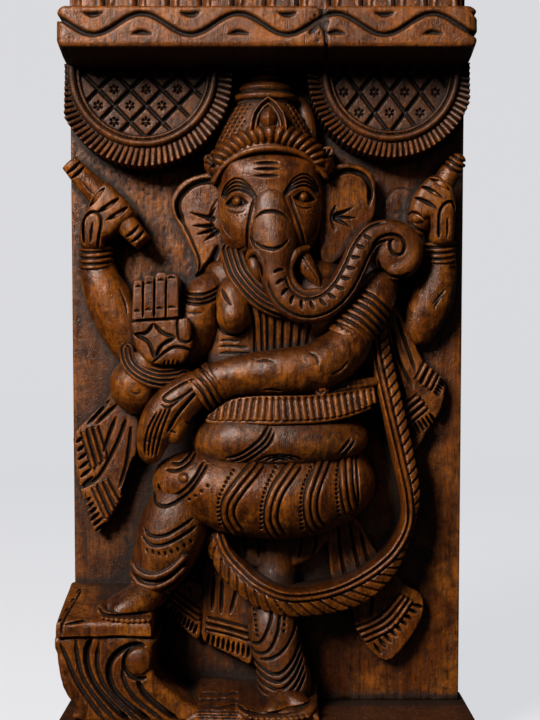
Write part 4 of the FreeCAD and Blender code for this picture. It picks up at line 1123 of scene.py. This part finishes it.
def garland():
    carving = Carving((-52, 100, -1), (122, 336, 56), 0.8)
    x, z = carving.x, carving.z
    inner = [(74, 332), (76, 305), (81.5, 278), (88, 250), (96, 216), (100.5, 194), (100.5, 175),
             (92, 158.5), (80, 147), (66, 138), (50, 131), (32, 127.5), (14, 128), (-3, 135), (-16, 145),
             (-26, 156), (-31, 168)]
    outer = [(90, 332), (92, 310), (98, 282), (106, 247), (113.5, 210), (114.5, 190), (109.5, 169),
             (99, 142), (84, 124), (68, 113.5), (50, 108.5), (32, 106.5), (12, 107.5), (-8, 114),
             (-26, 127), (-39, 142), (-46, 160), (-44, 170)]
    edge = outline_distance(x, z, np.vstack([smooth(inner, 6), smooth(outer, 6)[::-1]]))
    travelled, across = along(x, z, smooth(inner, 8))
    width = np.clip(across - edge, 8, 40)
    share = np.clip(across / width, 0, 1)
    top = 33 + 3.2 * np.sin(math.pi * share) - 2.0 * share + 4.0 * np.clip((190 - z) / 60, 0, 1)
    top = top - 7 * np.clip((z - 270) / 60, 0, 1)
    top = top + 10.5 * np.exp(-(((x - 6) / 34) ** 2)) * np.clip((152 - z) / 20, 0, 1)
    top = top + 2.0 * rounded(across, 2.0, 1.7)
    top = top + 1.5 * rounded(across, 6.2, 1.7)
    for at in (4.1, 8.6):
        top = top - 2.0 * v_cut(across, at, 1.1)
    # Slanting cuts run from the cords to the scalloped edge
    wave = ((travelled + 0.8 * across) / 7.3) % 1
    cut = np.clip(1 - np.abs(wave - 0.16) / 0.17, 0, 1)
    slope = np.where(wave > 0.16, (wave - 0.16) / 0.84, 1) * 0.9
    beyond = np.clip((across - 8.8 + 2.0 * np.clip((z - 200) / 60, 0, 1)) / 1.6, 0, 1)
    top = top - beyond * (3.2 * cut + 1.3 * (1 - slope) * (1 - cut))
    carving.block(edge + 1.6 * cut * beyond, top, 1.8)
    keep("garland", carving.finish(0.1, 97))


def tail(name, outline, top, bars, fringes, folds, window, seed):
    """A hanging end of cloth: folds down it, bars across it and a comb of slots beyond them."""
    carving = Carving((window[0], window[1], -1), (window[2], window[3], 30), 0.72)
    carving.slab(outline, top(carving.x, carving.z) if callable(top) else top, 2.2, 0, 3)
    for line in folds:
        carving.groove(line, 3.2, 2.3, 6)
    for line in bars:
        carving.ridge(line, 3.4, 1.7, 1)
        across = beside(heading(line[0], line[-1]))
        for offset in (-2.3, 2.3):
            shift = across * offset
            carving.groove([tuple(np.array(p) + shift) for p in line], 1.7, 1.5, 1)
    for start, end, first, last, count in fringes:
        a, b = np.array(start, float), np.array(end, float)
        for i in range(count):
            share = (i + 0.5) / count
            foot = a + (b - a) * share
            out = np.array(first, float) * (1 - share) + np.array(last, float) * share
            carving.groove([tuple(foot), tuple(foot + out)], 3.0, 3.2, form="lens")
    keep(name, carving.finish(0.14, seed))


def cloth_tails():
    tail(
        "left_sash_tail",
        [(-116, 276), (-124, 264), (-146, 243), (-146.5, 226), (-145.7, 212.7), (-141.6, 197.4),
         (-138, 186), (-131.7, 166.8), (-125.4, 168.6), (-118.2, 178.5), (-112.8, 187.5), (-104.7, 207),
         (-99.3, 227), (-97, 252), (-100, 264)],
        lambda x, z: 14 + 0.12 * (x + 145),
        bars=[[(-139.5, 243), (-131.5, 215)], [(-135, 246), (-127, 218.5)],
              [(-130.6, 247), (-122.6, 222.6)], [(-131.5, 201), (-120.5, 177)],
              [(-127, 204), (-116.6, 182)], [(-122.6, 206), (-113, 188)]],
        fringes=[((-141.4, 241), (-130.6, 206), (-4.4, -3.6), (-10.5, -8.4), 6),
                 ((-135, 195), (-120.6, 172), (-6, -6), (-9.6, -7.6), 6)],
        folds=[[(-144.6, 199), (-136, 202.6), (-126.6, 210.6), (-113.6, 234.3), (-107, 253)],
               [(-110.8, 194), (-100.6, 224)], [(-136.4, 248), (-128, 257), (-119.3, 267)],
               [(-106.5, 252), (-113, 236), (-120, 222)], [(-114.6, 254), (-120, 240), (-124.5, 226)],
               [(-103, 247), (-106, 222), (-112, 200)], [(-113, 264), (-122, 256), (-130, 248)]],
        window=(-152, 160, -92, 280), seed=101)
    tail(
        "right_sash_tail",
        [(90, 345), (99, 336), (109, 317), (119, 296), (132, 286.5), (135.5, 273), (131.5, 258), (122, 243),
         (111, 227), (101, 240), (97, 252), (104, 268), (97, 300), (89, 322)],
        lambda x, z: 15 - 0.04 * (x - 110),
        bars=[[(114.2, 281), (121.4, 295)], [(118.4, 277), (125.4, 291.4)], [(122.4, 274.6), (129.2, 288)],
              [(99, 256.6), (116, 270)], [(101, 252), (119, 266.4)], [(103, 247), (121.4, 262)]],
        fringes=[((126, 272), (132, 284), (5, -3), (4.5, -4), 5),
                 ((105, 244.5), (124.5, 258), (4, -9), (6, -8), 7)],
        folds=[[(98, 330), (106, 308), (113, 288)], [(94, 322), (101, 296), (111, 276)],
               [(94, 302), (100, 282), (106, 268)]],
        window=(84, 222, 140, 350), seed=102)
    tail(
        "lower_right_sash",
        [(46, 178), (47, 150), (50, 128), (60, 108), (68, 93), (77, 78), (91, 68), (104, 79), (115, 95),
         (119, 107), (116.8, 119), (104, 127), (92, 140), (80, 156), (66, 178)],
        lambda x, z: 14.5 + 1.2 * np.sin(x / 5),
        bars=[[(67.5, 92), (87, 100.4), (103, 119)], [(70.5, 88), (90.5, 97.2), (106.5, 117)],
              [(73.6, 84), (94, 94), (110, 115)]],
        fringes=[((79, 80), (112.6, 113), (6, -9), (8, -2), 9)],
        folds=[[(54, 174), (56, 150), (62, 122)], [(62, 174), (68, 146), (76, 116)],
               [(70, 168), (78, 142), (90, 122)], [(58, 120), (62, 110), (66, 100)],
               [(80, 120), (80, 112), (78, 102)]],
        window=(42, 62, 124, 182), seed=103)
    tail(
        "outer_left_hem",
        [(-78, 126), (-78, 112), (-74, 103), (-62, 91), (-53, 84), (-50, 96), (-50, 126)],
        13,
        bars=[[(-76, 123), (-63, 113.5), (-51, 104.6)], [(-76, 118), (-63, 108.5), (-51, 99.6)]],
        fringes=[((-74, 111), (-52, 95), (-3, -7.5), (-2.6, -8), 8)],
        folds=[[(-60, 126), (-58, 116)]],
        window=(-82, 76, -46, 132), seed=104)
    tail(
        "inner_left_hem",
        [(-48, 140), (-49, 104), (-49, 84), (-36, 77), (-22, 70), (-12, 67), (-11, 90), (-11, 122),
         (-24, 134), (-36, 144)],
        lambda x, z: 15 + 0.05 * (x + 45),
        bars=[[(-46, 99.6), (-30, 96), (-13, 91.4)], [(-46.6, 94.6), (-30, 91), (-13, 86)]],
        fringes=[((-46, 90), (-12, 80), (-1.2, -9.5), (-0.6, -10), 9)],
        folds=[[(-40, 134), (-42, 106)], [(-34, 132), (-35, 104)], [(-22, 128), (-28, 104)]],
        window=(-53, 60, -6, 148), seed=105)


def carve_foot_pedestal():
    slab = Carving((-153.5, 95, -1), (-80, 128, 71), 0.75)
    x, z = slab.x, slab.z
    rise = slab.axes[1][None, :, None]
    edge = np.maximum.reduce([-152 - x, x + 83.5, 97.2 + 0.9 * np.sin((x + 150) / 24) - z])
    roof = z[:, None, :] - (108.3 + 17 * np.clip((70 - rise) / 70, 0, 1) - 0.02 * (x[:, None, :] + 120))
    sides = np.maximum(edge[:, None, :], rise - 70)
    easing = np.maximum(4 - np.abs(sides - roof), 0) / 4
    slab.field = (np.maximum(sides, roof) + easing**2).astype(np.float32)
    slab.groove([(-146, 106.2), (-138, 107.4), (-129.8, 108.4)], 2.4, 1.8, form="lens")
    slab.groove([(-147.8, 98), (-147.6, 106), (-141, 122)], 2.0, 1.4, 2)
    for i in range(4):
        slab.groove([(-151.5 + 2.2 * i, 108 + 4.4 * i), (-147.6 + 2.2 * i, 109.4 + 4.4 * i)], 1.8, 1.2,
                    form="lens")
    keep("foot_pedestal", slab.finish(0.3, 111))


def carve_pedestal_scroll():
    scroll = Carving((-153.5, 34, -1), (-34, 98, 72), 0.75)
    x, z = scroll.x, scroll.z
    outline = [(-151.5, 97), (-152, 84), (-151, 72), (-147, 58), (-139, 45), (-133, 35), (-38, 35),
               (-46, 40), (-62, 50), (-73, 59), (-80.5, 68), (-83, 78), (-82.6, 88), (-85, 97)]
    dip = 4.5 * np.clip((x + 100) / 45, 0, 1.4) * np.clip((70 - z) / 20, 0, 1)
    scroll.slab(outline, 66 - dip, 5, 0, 4)
    # Flutes sweep from under the slab down to the right
    wide = ([(-127, 96), (-130.6, 86.2), (-129.1, 72.4), (-122.2, 58.5), (-109.9, 44.7), (-99, 35)],
            [(-89, 91.4), (-98, 90.4), (-107, 86), (-113, 79), (-114.4, 69), (-109.9, 57), (-99.1, 46.2),
             (-84, 35)],
            [(-94, 65.6), (-88.4, 55), (-76, 43.6), (-64, 35)])
    for path in wide:
        scroll.groove(path, 5.2, 3.8, 5)
    fine = ([(-149.8, 92), (-144.4, 80), (-138, 64.7), (-126.8, 47.8), (-117, 35)],
            [(-138.5, 95), (-137.4, 83.1), (-132.8, 66.2), (-121.4, 49.3), (-108.5, 35)],
            [(-121.6, 93), (-122.8, 75.4), (-117, 60.1), (-103.4, 44.7), (-92, 35)],
            [(-104.6, 76), (-103, 64), (-94, 50.5), (-75, 35)])
    for path in fine:
        scroll.groove(path, 4.2, 1.7, 8)
    around = np.hypot((x + 93) * 1.04, z - 79.5)
    scroll.lift = np.maximum(scroll.lift, 3.6 * np.sqrt(np.clip(1 - (around / 10.2) ** 2, 0, 1)))
    eye_line = [(-88, 90.4), (-96, 89.3), (-101.8, 84), (-103.6, 76), (-99.6, 69), (-93.4, 66.2),
                (-87, 67.4)]
    scroll.groove(eye_line, 3.6, 3.4, 3)
    keep("pedestal_scroll", scroll.finish(0.24, 112))


def carve_standing_base():
    mound = Carving((-66, 33, -1), (42, 60, 71), 0.85)
    x, z = mound.x, mound.z
    rise = mound.axes[1][None, :, None]
    crest = 41.5 + 1.2 * np.sin(x[:, None, :] / 9) + 11 * np.clip((62 - rise) / 50, 0, 1)
    shoulder = 0.5 * np.clip(-50 - x[:, None, :], 0, 40)
    roof = z[:, None, :] - crest + shoulder
    edge = np.maximum.reduce([-64 - x, x - 38, 34 - z])
    sides = np.maximum(edge[:, None, :], rise - 63)
    easing = np.maximum(5 - np.abs(sides - roof), 0) / 5
    mound.field = (np.maximum(sides, roof) + easing**2 * 5 / 4).astype(np.float32)
    for i in range(6):
        mound.groove([(-52, 37 + 2.2 * i), (-34, 36.8 + 2.2 * i), (-20, 36.6 + 2.1 * i)], 1.4, 0.8, 3)
    keep("standing_base", mound.finish(0.3, 113))


def crescent(x, z, half, low, high):
    """The outline between two arcs on a level chord at (x, z): one rises by low, the other by high."""
    t = np.linspace(-1, 1, 9)
    under = np.column_stack([x + half * t, z + low * (1 - t**2)])
    over = np.column_stack([x + half * t, z + high * (1 - t**2)])[::-1]
    return np.vstack([under, over[1:-1]])


def flower(carving, x, z, reach):
    """Six petals cut around a point."""
    for k in range(6):
        angle = math.pi * (k / 3 + 1 / 6)
        dx, dz = math.cos(angle), math.sin(angle)
        path = [(x + 0.9 * dx, z + 0.9 * dz), (x + reach * dx, z + reach * dz)]
        carving.groove(path, 2.3, 1.9, form="lens")


def eye(carving, x, z, side):
    """An eye under brow arcs that meet at the inner end; side is -1 for the eye on the left."""
    for reach, width in ((8.2, 2.0), (11.0, 2.0), (13.8, 2.0), (16.6, 1.6)):
        outer, inner = side * (5.6 + reach * 0.34), -side * (12.4 + reach * 0.22)
        brow = [(x + outer * 1.04, z + reach * 0.22), (x + outer * 0.72, z + reach * 0.72),
                (x + 0.5 * side, z + reach), (x + inner * 0.45, z + reach * 0.80),
                (x + inner * 0.82, z + 0.8 + reach * 0.28), (x + inner, z - 0.4)]
        carving.groove(brow, width, 1.7, 3)
    almond = np.vstack([smooth([(x - 9.4, z - 1.6), (x - 4.4, z + 2.8), (x, z + 4.4), (x + 4.6, z + 2.8),
                                (x + 9.4, z - 1.6)], 5),
                        smooth([(x + 4.8, z - 3.6), (x, z - 4.6), (x - 4.8, z - 3.6)], 5)])
    carving.gouge(almond, 2.2, 2.2, 1)
    carving.dot(x, z, 3.7, -3.8)
    carving.dot(x, z - 0.2, 0.9, 0.6)
    carving.groove([(x - 8.5, z - 4.6), (x - 4, z - 7.6), (x + 1.5, z - 8.6), (x + 6.5, z - 7)], 1.7, 1.0,
                   form="lens")
    for i in range(5):
        carving.groove([(x - 7 + 3.4 * i, z - 10.2 - 0.5 * (i % 2)), (x - 6.2 + 3.4 * i, z - 11.6)], 1.0,
                       0.8, form="lens")


def carve_everything():
    plank_ground()
    cornice()
    upper_frieze()
    board("plinth", (-152.4, 0.1, -29.9), (152.4, 35, 69.9), 2.2, 24)
    board("top_cap", (-152.4, 600, -29.9), (152.4, 609.9, 47.9), 1.8, 25)
    medallion("left_medallion", (-92.5, 508.5), 66.5, (-93, 513), 53.5, (-91, 488.5), (24, 24.4), -1, 44)
    medallion("right_medallion", (93, 511), 62.5, (93, 513), 49.5, (92.4, 498.6), (23, 31), 1, 44)
    carve_crown_cap()
    carve_crown_band()
    carve_crown_jewel()
    head()
    carve_trunk()
    carve_tusks()
    carve_left_ear()
    carve_right_ear()
    carve_chest()
    carve_necklace()
    carve_belly()
    carve_belly_sash()
    carve_lowered_bangles()
    carve_lowered_hand()
    carve_lowered_forearm()
    carve_lowered_upper_arm()
    carve_blessing_hand()
    carve_blessing_bangles()
    carve_blessing_forearm()
    carve_blessing_upper_arm()
    carve_rear_forearms()
    carve_rear_bangles()
    carve_rear_hands()
    carve_rear_clubs()
    carve_thigh()
    carve_bent_shin()
    carve_bent_foot()
    carve_standing_leg()
    carve_standing_foot()
    carve_skirt_drape()
    garland()
    cloth_tails()
    carve_foot_pedestal()
    carve_pedestal_scroll()
    carve_standing_base()


# Finishing: what stain, wear and painted shade do to each surface


# Painted shade: how much darker, as extra recess, some pieces are than their place in the relief makes them
PAINTED_SHADE = {"left_medallion": 0.3, "right_medallion": 0.3, "standing_leg": 0.4, "bent_shin": 0.3, "belly": 0.28,
         "trunk": 0.22, "skirt_drape": 0.2, "left_sash_tail": 0.08}
# Pieces whose tops take only about a third of the painted top shade
LESS_TOP_SHADE = ("foot_pedestal", "pedestal_scroll", "cornice")


def map_place(points):
    """Where on the map of heights each point falls."""
    i = np.clip((points[:, 0] + MAP_CENTRE).astype(int), 0, MAP_SIZE[0] - 1)
    j = np.clip(points[:, 2].astype(int), 0, MAP_SIZE[1] - 1)
    return i, j


def relief_heights():
    """The highest rise over each square millimetre of the panel, blurred a little and blurred widely."""
    highest = np.zeros(MAP_SIZE)
    for points, _, _ in surfaces.values():
        np.maximum.at(highest, map_place(points), points[:, 1])
    highest = np.clip(highest, 0, FRONT)
    blurred = []
    for reach in (3, 9):
        out = highest
        for _ in range(2):
            for axis in (0, 1):
                pad = [(reach, reach) if n == axis else (0, 0) for n in range(2)]
                total = np.cumsum(np.pad(out, pad, mode="edge"), axis=axis)
                total = np.insert(total, 0, 0, axis=axis)
                window = 2 * reach + 1
                out = (np.take(total, range(window, total.shape[axis]), axis=axis)
                       - np.take(total, range(0, total.shape[axis] - window), axis=axis)) / window
        blurred.append(out)
    return blurred


def curvature(points, edges, normals):
    """How far each point lies below (positive) or above its neighbours, over a few cells."""
    soft = points.copy()
    count = np.bincount(edges.ravel(), minlength=len(points))[:, None]
    for _ in range(6):
        total = np.zeros_like(soft)
        for n in range(3):
            total[:, n] = np.bincount(edges[:, 0], weights=soft[edges[:, 1], n], minlength=len(points))
            total[:, n] += np.bincount(edges[:, 1], weights=soft[edges[:, 0], n], minlength=len(points))
        soft = 0.5 * soft + 0.5 * total / np.maximum(count, 1)
    return np.sum((soft - points) * normals, axis=1)


def make_piece(name, surface, heights, wood):
    """Makes a carved surface a piece of the scene, with the attributes that its wood reads."""
    points, faces, depth = surface
    mesh = bpy.data.meshes.new(name)
    placed = np.column_stack([points[:, 0] * MM, FACE_Y - points[:, 1] * MM, points[:, 2] * MM])
    mesh.from_pydata(placed.tolist(), [], faces.tolist() if isinstance(faces, np.ndarray) else faces)
    mesh.update()
    edges = np.zeros(len(mesh.edges) * 2, np.int32)
    mesh.edges.foreach_get("vertices", edges)
    edges = edges.reshape(-1, 2)
    normals = np.zeros(len(mesh.vertices) * 3)
    mesh.vertices.foreach_get("normal", normals)
    hollow = curvature(placed, edges, normals.reshape(-1, 3)) / MM
    place = map_place(points)
    # Stain and painted shade: darker where a point lies below the relief around it, as between the carved
    # parts
    near, wide = (blurred[place] - points[:, 1] for blurred in heights)
    recess = np.clip(near / 9, 0, 1) * 0.55 + np.clip(wide / 16, 0, 1) * 0.45
    # Painted shadow under the cornice, darkest near it, and darker still on the cornice's own underside
    cornice_shadow = np.clip((points[:, 2] - 455) / 55, 0, 1) * (points[:, 2] < 523) * (points[:, 1] < 69)
    recess = recess + 0.42 * cornice_shadow + 0.5 * cornice_shadow * (name == "cornice")
    # Painted shade on the pieces listed above
    recess = recess + PAINTED_SHADE.get(name, 0)
    # The ground darkens down its left side
    if name == "plank_ground":
        recess = recess + 0.34 * np.clip((340 - points[:, 2]) / 130, 0, 1) * (points[:, 0] < 0)
    recess = np.clip(recess, 0, 1)
    facing = normals.reshape(-1, 3)
    # Painted shade by facing: a share for faces turned up and a little to the left
    painted_top_shade = np.clip(1.25 * facing[:, 2] - 0.2 * facing[:, 0] - 0.12, 0, 1)
    if name in LESS_TOP_SHADE:
        painted_top_shade = 0.35 * painted_top_shade
    for label, values in (("recess", recess), ("hollow", hollow), ("cut", depth), ("painted_top_shade", painted_top_shade)):
        layer = mesh.attributes.new(label, "FLOAT", "POINT")
        layer.data.foreach_set("value", np.asarray(values, np.float32))
    mesh.polygons.foreach_set("use_smooth", np.ones(len(mesh.polygons), bool))
    mesh.materials.append(wood)
    piece = bpy.data.objects.new(name, mesh)
    bpy.context.scene.collection.objects.link(piece)
    # Fewer, larger triangles where the surface is nearly flat
    thin = piece.modifiers.new("thin", "DECIMATE")
    thin.ratio = KEPT_SHARE
    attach(piece, "root")
    if name in frame["nodes"]:
        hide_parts(name)


def node_slot(name):
    """The material slot of a CAD node, or of the ground laid over the plank."""
    if name == "plank_ground":
        name = "back_plank"
    return next(part["material_slot"] for part in frame["record"]["subparts"] if part["node"] == name)


# Materials


class Graph:
    """Short calls for building a material's nodes."""

    def __init__(self, name):
        self.material = bpy.data.materials.new(name)
        self.material.use_nodes = True
        self.tree = self.material.node_tree
        self.shader = self.tree.nodes["Principled BSDF"]

    def node(self, kind, **settings):
        made = self.tree.nodes.new(kind)
        for key, value in settings.items():
            setattr(made, key, value)
        return made

    def link(self, source, target):
        self.tree.links.new(source, target)

    def value(self, source, socket):
        if isinstance(source, (int, float, tuple)):
            socket.default_value = source
        else:
            self.link(source, socket)

    def math(self, operation, a, b=0.0, clamp=False):
        made = self.node("ShaderNodeMath", operation=operation, use_clamp=clamp)
        self.value(a, made.inputs[0])
        self.value(b, made.inputs[1])
        return made.outputs[0]

    def ramp(self, source, low, high, to_low=0.0, to_high=1.0):
        made = self.node("ShaderNodeMapRange")
        self.value(source, made.inputs["Value"])
        for key, number in (("From Min", low), ("From Max", high), ("To Min", to_low), ("To Max", to_high)):
            made.inputs[key].default_value = number
        return made.outputs[0]

    def mix(self, share, a, b, blend="MIX"):
        made = self.node("ShaderNodeMix", data_type="RGBA", blend_type=blend)
        self.value(share, made.inputs["Factor"])
        self.value(a, made.inputs["A"])
        self.value(b, made.inputs["B"])
        return made.outputs["Result"]

    def noise(self, where, scale, detail=4.0, rough=0.55, twist=0.0):
        made = self.node("ShaderNodeTexNoise")
        self.link(where, made.inputs["Vector"])
        made.inputs["Scale"].default_value = scale
        made.inputs["Detail"].default_value = detail
        made.inputs["Roughness"].default_value = rough
        made.inputs["Distortion"].default_value = twist
        return made.outputs["Fac"]

    def attribute(self, name):
        return self.node("ShaderNodeAttribute", attribute_name=name).outputs["Fac"]


def rgb(r, g, b):
    return (r, g, b, 1.0)


def wood(name, dark, mid, warm, glow, stain_and_shade_strength=1.0):
    """Oiled and stained hardwood: upright grain, pores, stain and painted shade in the cuts and recesses,
    painted shade on upturned faces, golden worn places.
    """
    g = Graph(name)
    spot = g.node("ShaderNodeNewGeometry").outputs["Position"]
    stretch = g.node("ShaderNodeMapping")
    g.link(spot, stretch.inputs["Vector"])
    stretch.inputs["Scale"].default_value = (1.0, 1.0, 0.08)
    grain_at = stretch.outputs["Vector"]
    figure = g.noise(grain_at, 85, 5, 0.6, 0.8)
    fibre = g.noise(grain_at, 520, 4, 0.65, 0.2)
    streak = g.noise(grain_at, 210, 4, 0.55, 0.5)
    patch = g.noise(spot, 24, 4, 0.6, 0.4)
    blotch = g.noise(spot, 95, 5, 0.68, 0.3)
    mottle = g.noise(spot, 340, 5, 0.7, 0.2)
    grit = g.noise(spot, 1150, 3, 0.6)
    # Pores: short upright dashes
    pore_at = g.node("ShaderNodeMapping")
    g.link(spot, pore_at.inputs["Vector"])
    pore_at.inputs["Scale"].default_value = (1.0, 1.0, 0.14)
    pore = g.node("ShaderNodeTexVoronoi")
    g.link(pore_at.outputs["Vector"], pore.inputs["Vector"])
    pore.inputs["Scale"].default_value = 560
    pore_dash = g.ramp(pore.outputs["Distance"], 0.14, 0.34, 1.0, 0.0)
    pore_here = g.math("MULTIPLY", pore_dash, g.ramp(streak, 0.42, 0.56, 0.0, 1.0))

    recess = g.attribute("recess")
    hollow = g.attribute("hollow")
    cut = g.attribute("cut")
    tone = g.mix(g.ramp(figure, 0.40, 0.60), mid, warm)
    tone = g.mix(g.ramp(patch, 0.46, 0.64, 0.0, 0.8), tone, glow)
    tone = g.mix(g.ramp(streak, 0.50, 0.66, 0.0, 0.55), tone, dark)
    # Wear: raised edges rub to the warm wood
    raised = g.ramp(hollow, -0.12, -0.015, 1.0, 0.0)
    rub = g.math("MULTIPLY", raised, g.ramp(blotch, 0.35, 0.6, 0.3, 1.0))
    tone = g.mix(g.math("MULTIPLY", rub, 0.5), tone, glow)
    tone = g.mix(g.ramp(blotch, 0.47, 0.66, 0.0, 0.78), tone, dark)
    tone = g.mix(g.ramp(mottle, 0.48, 0.64, 0.0, 0.62), tone, dark)
    tone = g.mix(g.ramp(fibre, 0.48, 0.68, 0.0, 0.5), tone, dark)
    # Years of dust and oil darken what faces up
    # Painted shade: faces turned up, and a little to the left, take a darker base
    top_shade = g.math("MULTIPLY", g.attribute("painted_top_shade"), g.ramp(patch, 0.3, 0.6, 0.55, 0.85))
    tone = g.mix(top_shade, tone, dark)
    # Stain and painted shade: the near-black deep colour in cuts, hollows and the deep ground between the
    # carved parts, on the shaded pieces and under the cornice
    deep = (dark[0] * 0.22, dark[1] * 0.2, dark[2] * 0.2, 1.0)
    stain_and_shade = g.math("ADD", g.ramp(cut, 0.15, 1.3, 0.0, 0.9), g.ramp(hollow, 0.012, 0.14, 0.0, 0.8))
    stain_and_shade = g.math("ADD", stain_and_shade, g.ramp(recess, 0.1, 0.75, 0.0, 0.85 * stain_and_shade_strength), clamp=True)
    tone = g.mix(stain_and_shade, tone, deep)
    tone = g.mix(g.math("MULTIPLY", pore_here, 0.85), tone, deep)
    g.link(tone, g.shader.inputs["Base Color"])
    rough = g.math("ADD", g.ramp(patch, 0.3, 0.7, 0.20, 0.32), g.math("MULTIPLY", stain_and_shade, 0.35))
    rough = g.math("ADD", rough, g.ramp(mottle, 0.35, 0.65, -0.05, 0.12))
    g.link(rough, g.shader.inputs["Roughness"])
    g.shader.inputs["Specular IOR Level"].default_value = 0.5
    g.shader.inputs["Specular Tint"].default_value = (1.0, 0.80, 0.68, 1.0)
    g.shader.inputs["Coat Weight"].default_value = 0.08
    g.shader.inputs["Coat Roughness"].default_value = 0.22
    height = g.math("ADD", g.math("MULTIPLY", fibre, 0.3), g.math("MULTIPLY", grit, 0.45))
    height = g.math("ADD", height, g.math("MULTIPLY", mottle, 0.8))
    height = g.math("SUBTRACT", height, g.math("MULTIPLY", pore_here, 0.2))
    bump_node = g.node("ShaderNodeBump")
    bump_node.inputs["Strength"].default_value = 0.75
    bump_node.inputs["Distance"].default_value = 0.0008
    g.link(height, bump_node.inputs["Height"])
    g.link(bump_node.outputs["Normal"], g.shader.inputs["Normal"])
    return g.material


def steel(name, shade):
    """Zinc-plated steel with fine scratches and dulled patches."""
    g = Graph(name)
    spot = g.node("ShaderNodeTexCoord").outputs["Object"]
    stretch = g.node("ShaderNodeMapping")
    g.link(spot, stretch.inputs["Vector"])
    stretch.inputs["Scale"].default_value = (0.05, 1, 1)
    scratch = g.noise(stretch.outputs["Vector"], 1500, 3, 0.6)
    cloud = g.noise(spot, 160, 4, 0.6)
    dull = rgb(*(0.62 * c for c in shade))
    g.link(g.mix(g.ramp(cloud, 0.35, 0.7), rgb(*shade), dull), g.shader.inputs["Base Color"])
    rough = g.math("ADD", g.ramp(scratch, 0.3, 0.7, 0.22, 0.4), g.ramp(cloud, 0.4, 0.7, 0.0, 0.15))
    g.link(rough, g.shader.inputs["Roughness"])
    g.shader.inputs["Metallic"].default_value = 1.0
    bump_node = g.node("ShaderNodeBump")
    bump_node.inputs["Strength"].default_value = 0.25
    bump_node.inputs["Distance"].default_value = 0.0002
    g.link(scratch, bump_node.inputs["Height"])
    g.link(bump_node.outputs["Normal"], g.shader.inputs["Normal"])
    return g.material


def emissive(name, colour, strength, diffuse):
    """Paper that glows evenly and still takes a faint shadow."""
    g = Graph(name)
    g.shader.inputs["Base Color"].default_value = diffuse
    g.shader.inputs["Roughness"].default_value = 0.9
    g.shader.inputs["Emission Color"].default_value = colour
    g.shader.inputs["Emission Strength"].default_value = strength
    return g.material


# Stage, lights and camera


def add_camera():
    """Looks straight at the panel from a metre in front of it, just below its middle."""
    data = bpy.data.cameras.new("camera")
    data.sensor_width = 36
    data.lens = 69.4
    camera = bpy.data.objects.new("camera", data)
    right_of_middle, distance, height = 0.0022, 1.0, 0.297
    camera.location = (right_of_middle, cad_low.y - distance, height)
    camera.rotation_euler = (math.radians(90), 0, 0)
    bpy.context.scene.collection.objects.link(camera)
    bpy.context.scene.camera = camera


def add_light(name, at, aim, size, power, colour):
    """A rectangular lamp at one point, turned to face another."""
    data = bpy.data.lights.new(name, "AREA")
    data.shape = "RECTANGLE"
    data.size, data.size_y = size
    data.energy = power
    data.color = colour
    light = bpy.data.objects.new(name, data)
    light.location = at
    direction = np.array(aim, float) - np.array(at, float)
    yaw = math.atan2(direction[0], direction[1])
    pitch = math.atan2(direction[2], math.hypot(direction[0], direction[1]))
    light.rotation_euler = (math.pi / 2 + pitch, 0, -yaw)
    bpy.context.scene.collection.objects.link(light)


def add_stage():
    """A pale floor that sweeps up into a pale backdrop behind the panel."""
    reach, front, back, bend, tall = 4.0, -4.0, 3.4, 1.0, 4.0
    line = [(front, 0.0), (back - bend, 0.0)]
    steps = 16
    for i in range(1, steps + 1):
        a = math.radians(90 * i / steps)
        line.append((back - bend + bend * math.sin(a), bend - bend * math.cos(a)))
    line.append((back, tall))
    points = [(x, y, z) for x in (-reach, reach) for y, z in line]
    n = len(line)
    faces = [(i, i + n, i + n + 1, i + 1) for i in range(n - 1)]
    mesh = bpy.data.meshes.new("stage")
    mesh.from_pydata(points, [], faces)
    mesh.polygons.foreach_set("use_smooth", [True] * len(faces))
    mesh.materials.append(emissive("paper", rgb(0.67, 0.675, 0.7), 1.0, rgb(0.16, 0.16, 0.165)))
    stage = bpy.data.objects.new("stage", mesh)
    stage.visible_diffuse = False
    stage.visible_glossy = False
    bpy.context.scene.collection.objects.link(stage)


def light_scene():
    world = bpy.data.worlds.new("room")
    bpy.context.scene.world = world
    world.use_nodes = True
    world.node_tree.nodes["Background"].inputs["Color"].default_value = (0.75, 0.8, 0.9, 1)
    world.node_tree.nodes["Background"].inputs["Strength"].default_value = 0.018
    # The key stands high on the left; the fill only lifts what faces right
    add_light("key", (-0.92, -1.32, 1.27), (0, 0, 0.30), (0.55, 0.65), 51, (1.0, 0.93, 0.90))
    add_light("fill", (1.1, -1.3, 0.4), (0, 0, 0.3), (0.9, 0.9), 0.2, (1.0, 0.9, 0.82))
    scene = bpy.context.scene
    scene.view_settings.view_transform = "Standard"
    scene.view_settings.look = "None"


def main():
    carve_everything()
    heights = relief_heights()
    figure = wood("figure_wood", rgb(0.017, 0.0042, 0.0014), rgb(0.100, 0.0235, 0.0030),
                  rgb(0.190, 0.048, 0.0042), rgb(0.42, 0.124, 0.009))
    frame_wood = wood("frame_wood", rgb(0.022, 0.007, 0.0032), rgb(0.115, 0.032, 0.0072),
                      rgb(0.200, 0.056, 0.0095), rgb(0.38, 0.115, 0.015))
    plank = wood("plank_wood", rgb(0.015, 0.0038, 0.0013), rgb(0.068, 0.016, 0.0024),
                 rgb(0.140, 0.035, 0.0034), rgb(0.34, 0.098, 0.0075), stain_and_shade_strength=1.1)
    woods = {"figure_wood": figure, "frame_wood": frame_wood, "plank_wood": plank}
    for name, surface in surfaces.items():
        make_piece(name, surface, heights, woods[node_slot(name)])
    metals = {
        "hanger_steel": steel("hanger_steel", (0.55, 0.54, 0.5)),
        "screw_steel": steel("screw_steel", (0.5, 0.49, 0.46)),
    }
    finishes = {**woods, **metals}
    for name, node in frame["nodes"].items():
        if name in surfaces:
            continue
        finish = finishes[node_slot(name)]
        node.data.materials.clear()
        node.data.materials.append(finish)
    add_camera()
    add_stage()
    light_scene()


main()
